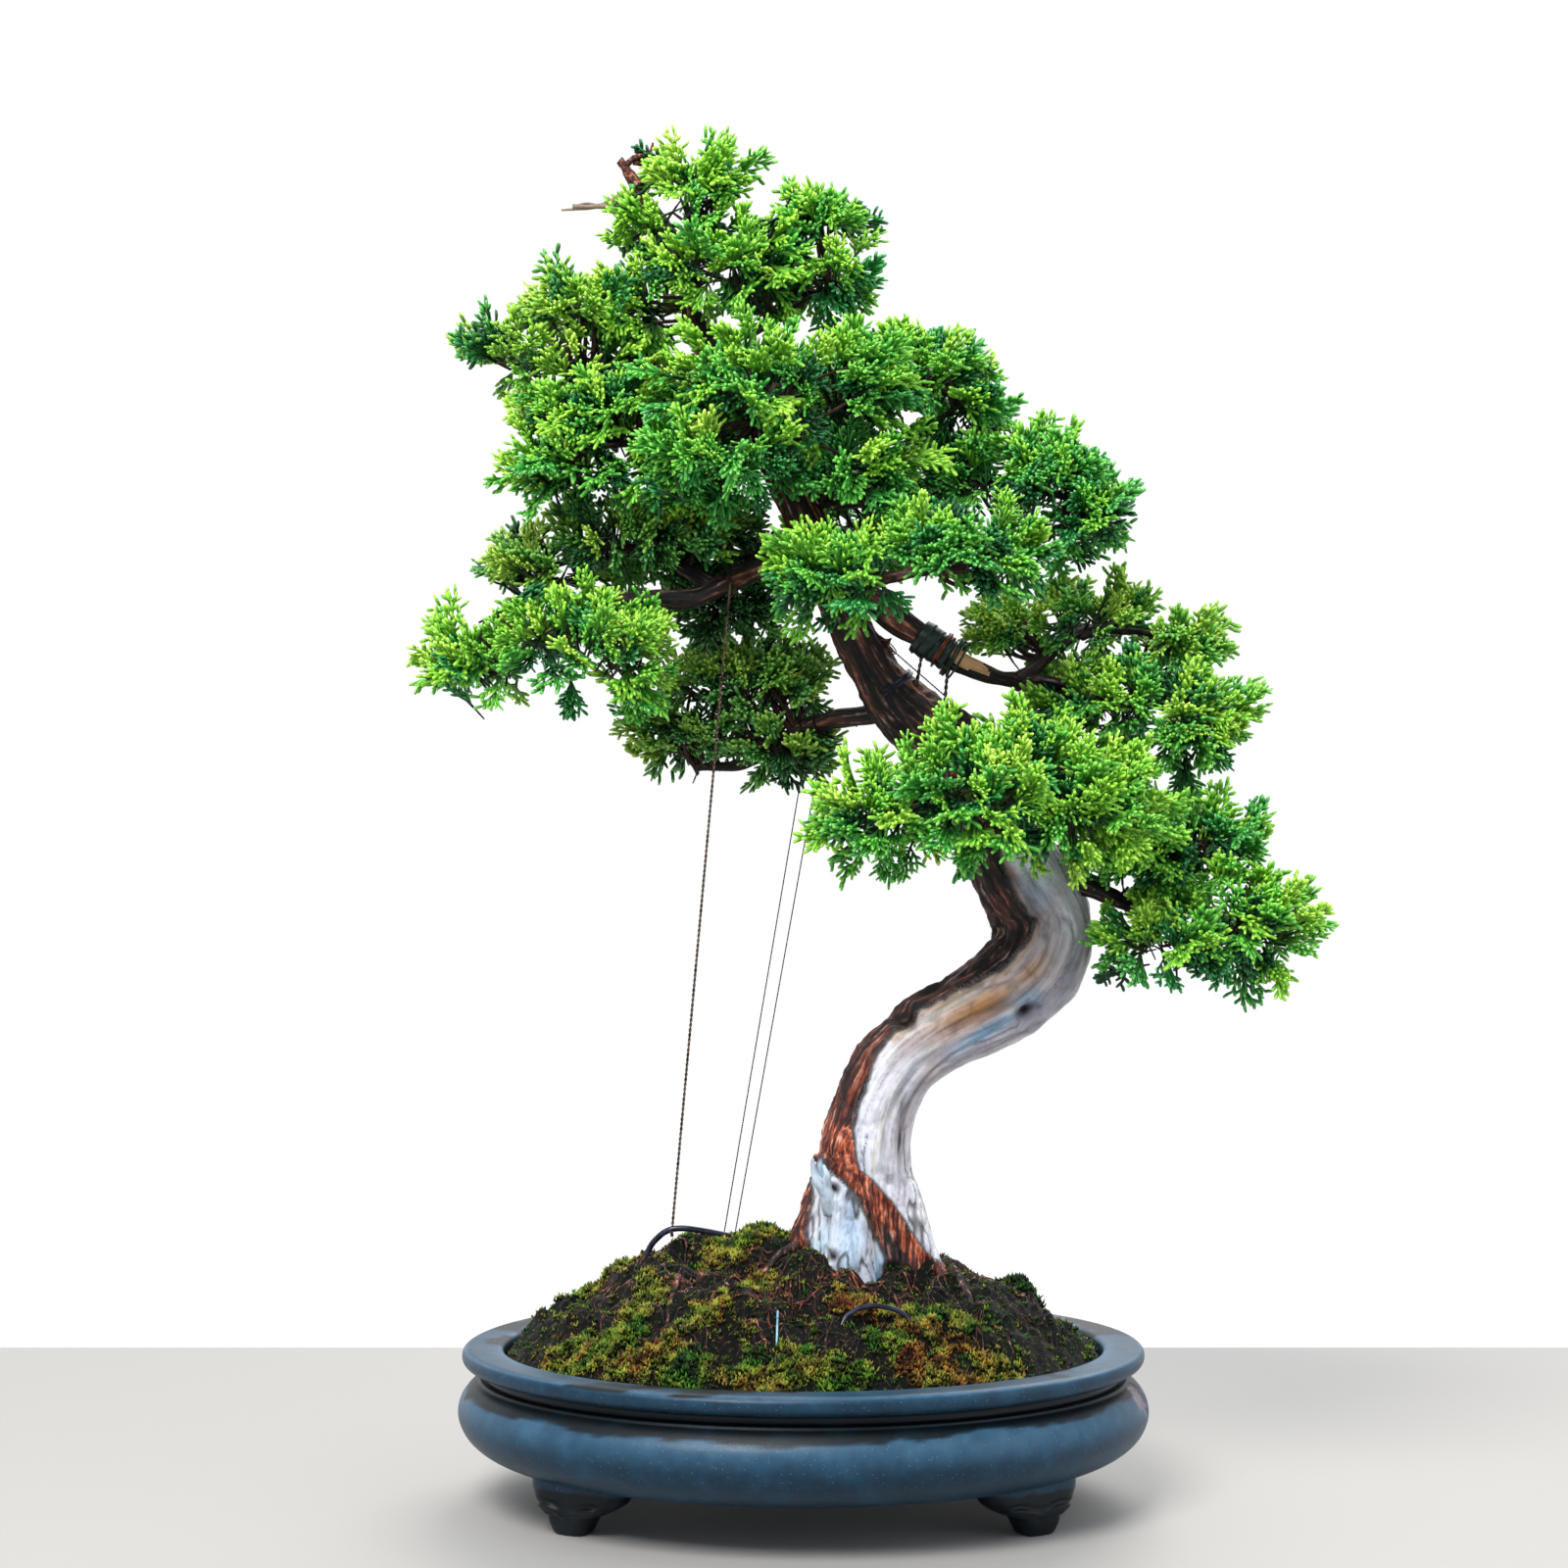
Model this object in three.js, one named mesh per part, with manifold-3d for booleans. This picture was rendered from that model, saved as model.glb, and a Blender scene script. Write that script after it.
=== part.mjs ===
// A trained juniper bonsai in an oval stoneware pot.
//
// Millimetres, +Z up, the front of the tree faces -Y. The model is set out around the
// centre of the pot and shifted at the end, so that the origin is the middle of the
// underside of its bounding box.
//
// Each limb is a round bar bent along a smooth curve through a few points, each pad of
// foliage is a cloud of squashed balls, and the pot is one fired shell on four feet.
import * as THREE from 'three';
import Module from 'manifold-3d';
import { mergeVertices } from 'three/addons/utils/BufferGeometryUtils.js';

const wasm = await Module();
wasm.setup();

// ---------------------------------------------------------------- driving dimensions
const GAP = 0.3;                  // clearance kept between pieces that touch

const POT_HALF_LENGTH = 156;      // outer edge of the rim, along X
const POT_HALF_WIDTH = 127;       // outer edge of the rim, along Y
const RIM_TOP = 72;               // height of the rim above what the pot stands on
const OPENING_HALF_LENGTH = 137;  // mouth of the pot, inside the flat rim
const FLOOR_TOP = 27;             // inside floor of the pot
const BASE_Z = 18.5;              // underside of the pot, between the feet
const DRAIN_RADIUS = 10;
const DRAIN_X = 62;               // the two drain holes lie at plus and minus this
const FOOT_X = 97;                // middle of each foot
const FOOT_Y = 64;

const SOIL_EDGE_Z = 67;           // level of the soil where it meets the pot
const MOUND_HEIGHT = 45;          // how far the mound rises above that level
const MOUND_POWER = 2.9;          // higher is flatter on top and steeper at the edge

const WIRE_RADIUS = 0.75;
const THIN_WIRE_RADIUS = 0.4;
const HOSE_RADIUS = 1.4;

// ---------------------------------------------------------------- finishes
const finish = (color, roughness) => new THREE.MeshStandardMaterial({
  color, roughness, metalness: 0,
});
const metal = (color, roughness) => new THREE.MeshStandardMaterial({
  color, roughness, metalness: 1,
});
const STONEWARE = finish(0x3f4f5c, 0.45);
const SOIL = finish(0x2a2117, 0.95);
const MOSS = finish(0x8a8420, 0.95);
const LIVE_BARK = finish(0x5a3526, 0.85);
const DEADWOOD = finish(0xb9b0b4, 0.75);
const FOLIAGE = finish(0x4f9a32, 0.7);
const RUBBER = finish(0x1d3a34, 0.6);
const STEEL_WIRE = metal(0x6b5d50, 0.5);
const MESH_PLASTIC = finish(0x202020, 0.6);

// ---------------------------------------------------------------- solids and joins
function toSolid(geometry) {
  const bare = new THREE.BufferGeometry();
  bare.setAttribute('position', geometry.getAttribute('position').clone());
  if (geometry.index) bare.setIndex(geometry.index.clone());
  const merged = mergeVertices(bare, 1e-4);
  return new wasm.Manifold(new wasm.Mesh({
    numProp: 3,
    vertProperties: new Float32Array(merged.getAttribute('position').array),
    triVerts: new Uint32Array(merged.index.array),
  }));
}

function toGeometry(solid) {
  const mesh = solid.getMesh();
  const geometry = new THREE.BufferGeometry();
  geometry.setAttribute('position', new THREE.BufferAttribute(mesh.vertProperties, 3));
  geometry.setIndex(new THREE.BufferAttribute(mesh.triVerts, 1));
  geometry.computeVertexNormals();
  return geometry;
}

const join = (solids) => solids.reduce((whole, next) => whole.add(next));

// A cut can leave crumbs and slivers behind; the piece itself is the largest of them.
const SIMPLIFY = 0.12;
function largest(solid) {
  const loose = solid.simplify(SIMPLIFY).decompose();
  return loose.reduce((best, next) => (next.volume() > best.volume() ? next : best));
}

// ---------------------------------------------------------------- limbs and wires
const toVectors = (points) => points.map(([x, y, z]) => new THREE.Vector3(x, y, z));

// A round bar bent along a smooth curve. radiusAt(u) is its radius from 0 at the start of
// the curve to 1 at its end, and flute(angle) makes the section less than round.
function limb(points, radiusAt, { sides = 8, steps = 10, flute = () => 1, grow = 0 } = {}) {
  const curve = new THREE.CatmullRomCurve3(toVectors(points), false, 'centripetal');
  const bar = new THREE.CylinderGeometry(1, 1, 1, sides, steps);
  const frames = [];
  let side = new THREE.Vector3(0, 1, 0);
  for (let i = 0; i <= steps; i += 1) {
    const along = curve.getTangent(i / steps).normalize();
    side = side.clone().addScaledVector(along, -side.dot(along)).normalize();
    const other = new THREE.Vector3().crossVectors(along, side);
    frames.push({ centre: curve.getPoint(i / steps), side, other });
  }
  const position = bar.getAttribute('position');
  for (let i = 0; i < position.count; i += 1) {
    const u = position.getY(i) + 0.5;
    const { centre, side: a, other: b } = frames[Math.round(u * steps)];
    const x = position.getX(i);
    const z = position.getZ(i);
    const radius = radiusAt(u) * flute(Math.atan2(z, x)) + grow;
    const place = centre.clone().addScaledVector(a, z * radius).addScaledVector(b, x * radius);
    position.setXYZ(i, place.x, place.y, place.z);
  }
  return toSolid(bar);
}

const taper = (from, to) => (u) => from + (to - from) * u;

// Radii given at the points of a limb, read off evenly along it.
function radiusList(radii) {
  return (u) => {
    const at = u * (radii.length - 1);
    const before = Math.min(Math.floor(at), radii.length - 2);
    return THREE.MathUtils.lerp(radii[before], radii[before + 1], at - before);
  };
}

// A wire or hose: a round section carried along its route.
function wire(points, radius, { sides = 6, steps = 12 } = {}) {
  const section = new THREE.Shape();
  for (let i = 0; i < sides; i += 1) {
    const angle = (i / sides) * Math.PI * 2;
    const corner = [radius * Math.cos(angle), radius * Math.sin(angle)];
    if (i === 0) section.moveTo(...corner);
    else section.lineTo(...corner);
  }
  section.closePath();
  const path = new THREE.CatmullRomCurve3(toVectors(points));
  return toSolid(new THREE.ExtrudeGeometry(section, { steps, extrudePath: path }));
}

// ---------------------------------------------------------------- the tree's skeleton
// The trunk rises from the soil, swings out to the right in an S, turns back over itself
// at an elbow and runs up to the left into the crown. Each row is x, y, z, radius.
const TRUNK = [
  [26, 0, 92, 31], [27, -1, 126, 25], [29, -2, 152, 20.5], [33, -4, 180, 19],
  [45, -6, 202, 18.5], [64, -8, 216, 19], [87, -8, 228, 21], [106, -6, 243, 23],
  [112, 0, 262, 23.5], [105, 4, 281, 22.5], [91, 8, 303, 20], [81, 11, 326, 19],
  [71, 12, 343, 18], [55, 12, 355, 15], [42, 11, 368, 12.5], [31, 9, 385, 10.5],
  [18, 6, 410, 9.5], [5, 3, 442, 9], [-9, 0, 472, 8.5], [-22, -2, 500, 8],
  [-38, -3, 522, 7.5], [-50, -1, 538, 6], [-51, 2, 558, 4], [-46, 3, 580, 2.5],
];

// Root flares, the dead front of the base with its stub, and an old branch stub.
const TRUNK_EXTRAS = [
  { points: [[19, -3, 152], [8, -6, 126], [0, -10, 96]], from: 14, to: 13 },
  { points: [[36, -4, 152], [46, -8, 126], [56, -12, 94]], from: 14, to: 12 },
  { points: [[27, 5, 148], [24, 18, 122], [20, 32, 92]], from: 14, to: 11 },
  { points: [[34, 4, 146], [44, 16, 120], [54, 26, 92]], from: 13, to: 10 },
  { points: [[23, -15, 170], [21, -22, 142], [21, -29, 110], [22, -31, 92]], from: 8, to: 14 },
  { points: [[17, -19, 140], [11, -24, 153], [7, -24, 162]], from: 9, to: 3.5 },
  { points: [[30, 8, 384], [42, 4, 397]], from: 4, to: 2 },
];

// Each limb starts on the axis of what carries it and is cut clear of it afterwards.
const BRANCHES = {
  branch_right_low: { carrier: 'trunk', from: 6, to: 1.8,
    points: [[106, 2, 272], [130, -8, 281], [150, -16, 272], [172, -24, 264], [200, -20, 264]] },
  branch_right_low_upper: { carrier: 'trunk', from: 4.5, to: 1.6,
    points: [[98, 6, 291], [128, 2, 298], [158, -8, 299], [186, -6, 301]] },
  branch_front_low: { carrier: 'trunk', from: 6.5, to: 1.8,
    points: [[86, 10, 313], [80, -20, 318], [66, -48, 320], [36, -66, 318]] },
  branch_front_right: { carrier: 'trunk', from: 5, to: 1.8,
    points: [[87, 9, 310], [103, -18, 318], [114, -44, 320], [122, -62, 318]] },
  branch_back_low: { carrier: 'trunk', from: 5, to: 1.8,
    points: [[82, 11, 324], [92, 38, 321], [110, 74, 322]] },
  branch_left_low: { carrier: 'trunk', from: 6.5, to: 1.8,
    points: [[46, 11, 364], [26, 20, 361], [1, 34, 355], [-30, 46, 336], [-58, 50, 342]] },
  branch_right_wired: { carrier: 'trunk', from: 8, to: 1.8,
    points: [[14, 5, 420], [42, 2, 406], [66, 0, 388], [90, 2, 376], [116, 6, 376], [178, 4, 360]] },
  branch_right_back: { carrier: 'branch_right_wired', from: 4, to: 1.6,
    points: [[100, 3, 375], [116, 18, 390], [138, 32, 402], [170, 32, 396]] },
  branch_left_main: { carrier: 'trunk', from: 7.5, to: 2,
    points: [[6, 3, 440], [-24, -6, 426], [-56, -12, 411], [-84, -18, 412], [-110, -26, 396],
      [-142, -26, 384]] },
  branch_left_upper_fork: { carrier: 'branch_left_main', from: 4, to: 1.5,
    points: [[-42, -9, 418], [-62, 0, 432], [-90, 3, 438], [-118, 0, 426]] },
  branch_left_inner: { carrier: 'trunk', from: 4, to: 1.5,
    points: [[2, 2, 448], [-14, 18, 440], [-38, 27, 430]] },
  branch_front_middle: { carrier: 'trunk', from: 5.5, to: 1.8,
    points: [[9, 4, 432], [22, -22, 424], [38, -46, 420], [62, -58, 424]] },
  branch_back_middle: { carrier: 'trunk', from: 5, to: 1.8,
    points: [[1, 2, 451], [12, 36, 448], [34, 80, 450]] },
  branch_right_upper: { carrier: 'trunk', from: 5.5, to: 1.8,
    points: [[-4, 1, 462], [30, 10, 460], [66, 18, 468], [100, 8, 468], [126, 2, 452]] },
  branch_right_top: { carrier: 'trunk', from: 4.5, to: 1.6,
    points: [[-15, -1, 485], [12, 4, 495], [40, 6, 510], [72, 5, 507]] },
  branch_center_front: { carrier: 'trunk', from: 5, to: 1.6,
    points: [[-18, -2, 491], [-18, -24, 489], [-22, -46, 490]] },
  branch_back_upper: { carrier: 'trunk', from: 4.5, to: 1.6,
    points: [[-24, -2, 503], [-22, 32, 502], [-20, 70, 505]] },
  branch_left_middle: { carrier: 'trunk', from: 5, to: 1.6,
    points: [[-20, -2, 496], [-48, -14, 486], [-78, -22, 484], [-106, -20, 476]] },
  branch_left_upper: { carrier: 'trunk', from: 5, to: 1.6,
    points: [[-42, -3, 527], [-68, -2, 519], [-98, -4, 521], [-132, -4, 522]] },
  branch_crown_right: { carrier: 'trunk', from: 4, to: 1.4,
    points: [[-47, -2, 534], [-30, -6, 533], [-12, -4, 542], [16, 1, 558]] },
};

// Dead branches, stripped of bark and bleached.
const JINS = {
  jin_apex: { from: 3, to: 3.2,
    points: [[-50, 2, 566], [-66, 3, 590], [-76, 3, 602], [-82, 2, 613]] },
  jin_crown_left: { from: 2.6, to: 0.9,
    points: [[-53, 1, 560], [-72, -2, 585], [-88, -4, 593], [-110, -6, 591]] },
};

// Pads of foliage: each lobe is x, y, z and its half sizes along X, Y and Z.
const PADS = {
  foliage_crown: [[-50, -4, 602, 23, 24, 18], [-56, 0, 583, 30, 28, 18],
    [-33, -8, 562, 36, 32, 20],
    [-72, 3, 547, 19, 24, 20]],
  foliage_crown_right: [[9, 0, 585, 20, 24, 13], [14, 2, 562, 21, 26, 17], [-8, 8, 573, 20, 24, 16]],
  foliage_left_upper: [[-103, 2, 544, 27, 30, 17], [-130, -4, 522, 27, 32, 22],
    [-99, -8, 515, 27, 28, 18]],
  foliage_left_middle: [[-89, -20, 493, 38, 34, 20], [-102, -20, 470, 33, 30, 17],
    [-62, -26, 474, 27, 28, 20]],
  foliage_center: [[-22, -42, 503, 41, 36, 30], [-35, -48, 472, 37, 32, 23],
    [18, -25, 505, 31, 34, 28], [26, -20, 470, 27, 34, 26]],
  foliage_right_top: [[56, 6, 515, 29, 32, 20], [74, 4, 502, 15, 20, 13]],
  foliage_right_upper: [[110, 4, 468, 28, 32, 22], [128, 0, 450, 22, 28, 20],
    [78, 20, 470, 23, 28, 20]],
  foliage_front_middle: [[17, -60, 419, 32, 32, 21], [60, -58, 425, 38, 32, 21],
    [86, -45, 430, 19, 26, 17]],
  foliage_left_large: [[-76, 4, 441, 42, 36, 18], [-117, 0, 425, 29, 32, 19]],
  foliage_left_tip: [[-141, -24, 381, 33, 30, 20], [-102, -30, 389, 43, 34, 21],
    [-80, -24, 377, 20, 26, 16]],
  foliage_left_inner: [[-46, 25, 444, 23, 28, 18], [-36, 30, 410, 22, 26, 17],
    [-40, 30, 427, 16, 20, 14]],
  foliage_left_low: [[-27, 50, 375, 41, 34, 22], [-55, 48, 351, 28, 28, 17],
    [-9, 46, 344, 17, 22, 13]],
  foliage_right_back: [[134, 34, 402, 33, 32, 22], [171, 32, 392, 25, 28, 18],
    [99, 30, 402, 23, 26, 15]],
  foliage_right_middle: [[144, 6, 364, 39, 34, 18], [178, 2, 356, 27, 32, 23]],
  foliage_low_front: [[35, -66, 313, 33, 30, 24], [73, -74, 322, 38, 36, 27],
    [120, -62, 318, 37, 36, 28], [97, -50, 342, 25, 28, 15]],
  foliage_low_right_upper: [[184, -6, 299, 26, 30, 21], [158, -18, 296, 21, 26, 22]],
  foliage_low_right: [[160, -36, 257, 31, 30, 19], [200, -20, 263, 32, 32, 22]],
  foliage_back_upper: [[-20, 68, 505, 42, 34, 26]],
  foliage_back_middle: [[34, 78, 450, 38, 34, 22]],
  foliage_back_low: [[110, 72, 322, 36, 34, 20]],
};

// ---------------------------------------------------------------- trunk and branches
const TRUNK_RADIUS = radiusList(TRUNK.map((row) => row[3]));
const trunkFlute = (angle) => 1 + 0.06 * Math.cos(2 * angle + 0.6) + 0.04 * Math.cos(3 * angle);

function makeTrunk(grow = 0) {
  const bole = limb(TRUNK, TRUNK_RADIUS, { sides: 12, steps: 36, flute: trunkFlute, grow });
  const extras = TRUNK_EXTRAS.map(({ points, from, to }) => limb(
    points, taper(from, to), { sides: 8, steps: 4, grow },
  ));
  return join([bole, ...extras]);
}

const makeLimb = ({ points, from, to }, grow = 0) => limb(
  points, taper(from, to), { sides: 6, steps: 2 * (points.length - 1), grow },
);

const trunk = makeTrunk();
const trunkRoom = makeTrunk(GAP);

const limbs = {};
const limbRooms = { trunk: trunkRoom };
for (const [name, branch] of Object.entries({ ...BRANCHES, ...JINS })) {
  let solid = makeLimb(branch).subtract(trunkRoom);
  for (const room of Object.values(limbRooms)) solid = solid.subtract(room);
  limbs[name] = largest(solid);
  limbRooms[name] = makeLimb(branch, GAP);
}
const woodRoom = join(Object.values(limbRooms));

// ---------------------------------------------------------------- pot, soil and moss
// The pot's plan keeps one wall width all round, so a ring that is `half` long each way
// is (half - POT_INSET) wide each way.
const POT_INSET = POT_HALF_LENGTH - POT_HALF_WIDTH;
const ROUND_WITHIN = 60;          // nearer the axis than this the inset fades away
const RING_SIDES = 36;

// Rings turned round the upright axis and pressed to the pot's oval plan. Rows of
// [half length, height] run up the axis, round and back to it.
function ovalRings(profile) {
  const points = profile.map(([half, z]) => new THREE.Vector2(half, z));
  const turned = new THREE.LatheGeometry(points, RING_SIDES);
  turned.rotateX(Math.PI / 2);
  const position = turned.getAttribute('position');
  for (let i = 0; i < position.count; i += 1) {
    const y = position.getY(i);
    const half = Math.hypot(position.getX(i), y);
    const inset = POT_INSET * Math.min(1, half / ROUND_WITHIN);
    if (half > 0) position.setY(i, (y * (half - inset)) / half);
  }
  return turned;
}

const ovalLathe = (profile) => toSolid(ovalRings(profile));

const POT_OUTSIDE = [
  [0, BASE_Z], [116, BASE_Z], [133, 21], [145, 25.5], [154, 32], [158, 41],
  [157, 50], [150, 57], [146, 58], [146, 62.5], [153, 63], [POT_HALF_LENGTH, 67], [154, RIM_TOP],
];
const POT_INSIDE = [
  [139, RIM_TOP], [OPENING_HALF_LENGTH, 70.5], [OPENING_HALF_LENGTH, 63], [146, 50],
  [144, 36], [128, 29], [112, FLOOR_TOP], [0, FLOOR_TOP],
];

// A cloud foot: a scalloped block that narrows in two steps to a flat toe, set across the
// corner of the oval, and rising far enough to be one with the shell above it.
const FOOT_TOP = 26;
const FOOT_DEPTH = 24;
const FOOT_TURN = 0.5;

function makeFoot(xSign, ySign) {
  const outline = new THREE.Shape();
  outline.moveTo(-23, FOOT_TOP);
  outline.lineTo(-23, 17);
  outline.quadraticCurveTo(-21, 10, -13, 10);
  outline.quadraticCurveTo(-13, 4, -9, 0);
  outline.lineTo(9, 0);
  outline.quadraticCurveTo(13, 4, 13, 10);
  outline.quadraticCurveTo(21, 10, 23, 17);
  outline.lineTo(23, FOOT_TOP);
  outline.closePath();
  const block = new THREE.ExtrudeGeometry(outline, {
    depth: FOOT_DEPTH, bevelEnabled: false, curveSegments: 3,
  });
  block.translate(0, 0, -FOOT_DEPTH / 2);
  block.rotateX(Math.PI / 2);
  block.rotateZ(-xSign * ySign * FOOT_TURN);
  block.translate(xSign * FOOT_X, ySign * FOOT_Y, 0);
  return toSolid(block);
}

function makePot() {
  const feet = [[-1, -1], [1, -1], [-1, 1], [1, 1]].map(([x, y]) => makeFoot(x, y));
  const shell = ovalLathe([...POT_OUTSIDE, ...POT_INSIDE]);
  let pot = join([shell, ...feet]);
  for (const x of [-DRAIN_X, DRAIN_X]) {
    const drill = new THREE.CylinderGeometry(DRAIN_RADIUS, DRAIN_RADIUS, 30, 20);
    drill.rotateX(Math.PI / 2);
    drill.translate(x, 0, (BASE_Z + FLOOR_TOP) / 2);
    pot = pot.subtract(toSolid(drill));
  }
  // Soil sits on the floor, so the feet may not rise through it.
  const room = ovalLathe([[0, FLOOR_TOP], ...POT_INSIDE.slice(1, -1).reverse(), [0, 75]]);
  return largest(pot.subtract(room));
}

// A hump of soil behind and to the left of the trunk, on top of the mound.
const HUMP = { x: -34, y: 8, rise: 7, spread: 34 };

// Height of the mound over a point.
function moundHeight(x, y) {
  const halfWidth = OPENING_HALF_LENGTH - POT_INSET;
  const out = Math.min(1, Math.hypot(x / OPENING_HALF_LENGTH, y / halfWidth));
  const fromHump = Math.hypot(x - HUMP.x, y - HUMP.y) / HUMP.spread;
  const hump = HUMP.rise * Math.exp(-(fromHump ** 2)) * (1 - out ** 4);
  return SOIL_EDGE_Z + MOUND_HEIGHT * (1 - out ** MOUND_POWER) + hump;
}

const SOIL_INSET = 0.5;           // the root ball has shrunk this far from the pot
const SOIL_RINGS = [1, 0.93, 0.82, 0.68, 0.52, 0.34, 0.16, 0];

function makeSoil(lift = 0) {
  const below = POT_INSIDE.slice(1).reverse()
    .map(([half, z]) => [Math.max(0, half - SOIL_INSET), z < 30 ? z + SOIL_INSET : z]);
  const mouth = OPENING_HALF_LENGTH - SOIL_INSET;
  const top = SOIL_RINGS.map((part) => [mouth * part, SOIL_EDGE_Z]);
  const body = ovalRings([...below.filter(([, z]) => z < SOIL_EDGE_Z), ...top]);
  const position = body.getAttribute('position');
  for (let i = 0; i < position.count; i += 1) {
    const z = position.getZ(i);
    if (Math.abs(z - SOIL_EDGE_Z) > 0.01) continue;
    position.setZ(i, moundHeight(position.getX(i), position.getY(i)) + lift);
  }
  return toSolid(body);
}

const MOSS_LIFT = 0.2;            // moss and wires keep this much more than the gap
const soilBody = makeSoil();
const soilRoom = makeSoil(GAP + MOSS_LIFT);
const soil = largest(soilBody.subtract(trunkRoom));

// Squashed balls joined into one lump.
function lump(lobes, grow = 0) {
  return join(lobes.map(([x, y, z, rx, ry, rz]) => {
    const ball = new THREE.IcosahedronGeometry(1, 1);
    ball.scale(rx + grow, ry + grow, rz + grow);
    ball.translate(x, y, z);
    return toSolid(ball);
  }));
}

// Cushions of moss lie on the mound: x, y and their half sizes.
const MOSS_PATCHES = {
  moss_front_left: [[-62, -66, 34, 16], [-88, -50, 20, 14], [-30, -76, 24, 14]],
  moss_front_right: [[70, -62, 32, 16], [38, -76, 22, 12]],
  moss_centre: [[12, -56, 26, 14]],
  moss_top: [[-34, -4, 24, 18]],
};
const MOSS_RISE = 5;

function makeMoss(patches) {
  const lobes = patches.map(([x, y, rx, ry]) => [x, y, moundHeight(x, y) - 1, rx, ry, MOSS_RISE]);
  return largest(lump(lobes).subtract(soilRoom).subtract(trunkRoom));
}

// ---------------------------------------------------------------- wires and ties
// Each route's points are in order from its upper or left end.
const atMound = (x, y, above) => [x, y, moundHeight(x, y) + above];

const WIRES = {
  guy_wire_main: { radius: WIRE_RADIUS, steps: 2, material: STEEL_WIRE,
    points: [[-33, -17, 420], [-60, -8, 124]] },
  guy_wire_thin_left: { radius: THIN_WIRE_RADIUS, steps: 2, material: STEEL_WIRE,
    points: [[2, 31, 348], [-37, 0, 118]] },
  guy_wire_thin_right: { radius: THIN_WIRE_RADIUS, steps: 2, material: STEEL_WIRE,
    points: [[10, 30, 352], [-32, 4, 118]] },
  brace_wire_left: { radius: WIRE_RADIUS, steps: 2, material: STEEL_WIRE,
    points: [[56, 1.5, 392], [50.5, 8, 368]] },
  brace_wire_right: { radius: WIRE_RADIUS, steps: 2, material: STEEL_WIRE,
    points: [[67, 1, 388], [65, 7, 360]] },
  anchor_hose: { radius: HOSE_RADIUS, steps: 16, material: RUBBER,
    points: [atMound(-74, -7, -6), atMound(-70, -7, 10), atMound(-60, -9, 15),
      atMound(-47, -8, 10), atMound(-34, -6, 4), atMound(-30, -6, -6)] },
  root_tie_front: { radius: 1.1, steps: 12, material: RUBBER,
    points: [atMound(14, -84, -5), atMound(18, -78, 4), atMound(30, -74, 7),
      atMound(46, -74, 5), atMound(52, -76, -5)] },
};

// A collar that grips a limb at one place: a short sleeve over it, a little larger than
// the limb's round, so that it clears the flutes.
const SLEEVE_SLACK = 1.08;
function collar(carrier, from, to, thickness) {
  const points = carrier === 'trunk' ? TRUNK : BRANCHES[carrier].points;
  const radiusAt = carrier === 'trunk'
    ? TRUNK_RADIUS : taper(BRANCHES[carrier].from, BRANCHES[carrier].to);
  const curve = new THREE.CatmullRomCurve3(toVectors(points), false, 'centripetal');
  const stretch = [0, 0.25, 0.5, 0.75, 1].map((part) => {
    const place = curve.getPoint(THREE.MathUtils.lerp(from, to, part));
    return [place.x, place.y, place.z];
  });
  const sleeveRadius = (u) => (
    radiusAt(THREE.MathUtils.lerp(from, to, u)) * SLEEVE_SLACK + GAP + thickness
  );
  const sleeve = limb(stretch, sleeveRadius, { sides: 10, steps: 3 });
  return largest(sleeve.subtract(woodRoom));
}

// ---------------------------------------------------------------- drain meshes
const MESH_SIZE = 30;
const MESH_THICKNESS = 1.2;
const MESH_BARS = 4;
const MESH_BAR_WIDTH = 2.4;

function makeDrainMesh(x) {
  const pitch = (MESH_SIZE - MESH_BAR_WIDTH) / (MESH_BARS - 1);
  const bars = [];
  for (let i = 0; i < MESH_BARS; i += 1) {
    const at = (i - (MESH_BARS - 1) / 2) * pitch;
    const along = new THREE.BoxGeometry(MESH_SIZE, MESH_BAR_WIDTH, MESH_THICKNESS);
    const across = new THREE.BoxGeometry(MESH_BAR_WIDTH, MESH_SIZE, MESH_THICKNESS);
    bars.push(toSolid(along.translate(0, at, 0)), toSolid(across.translate(at, 0, 0)));
  }
  return join(bars).translate(x, 0, FLOOR_TOP + GAP + MESH_THICKNESS / 2);
}

// ---------------------------------------------------------------- the assembly
const tree = new THREE.Group();

function add(name, solid, material) {
  const mesh = new THREE.Mesh(toGeometry(solid), material);
  mesh.name = name;
  tree.add(mesh);
}

const drainRoom = join([-DRAIN_X, DRAIN_X].map((x) => toSolid(
  new THREE.BoxGeometry(MESH_SIZE + 1, MESH_SIZE + 1, 2 * MESH_THICKNESS)
    .translate(x, 0, FLOOR_TOP + MESH_THICKNESS),
)));

add('pot', makePot(), STONEWARE);
add('soil_mound', largest(soil.subtract(drainRoom)), SOIL);
add('drain_mesh_left', makeDrainMesh(-DRAIN_X), MESH_PLASTIC);
add('drain_mesh_right', makeDrainMesh(DRAIN_X), MESH_PLASTIC);
add('trunk', trunk, DEADWOOD);

for (const name of Object.keys(BRANCHES)) add(name, limbs[name], LIVE_BARK);
for (const name of Object.keys(JINS)) add(name, limbs[name], DEADWOOD);

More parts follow.
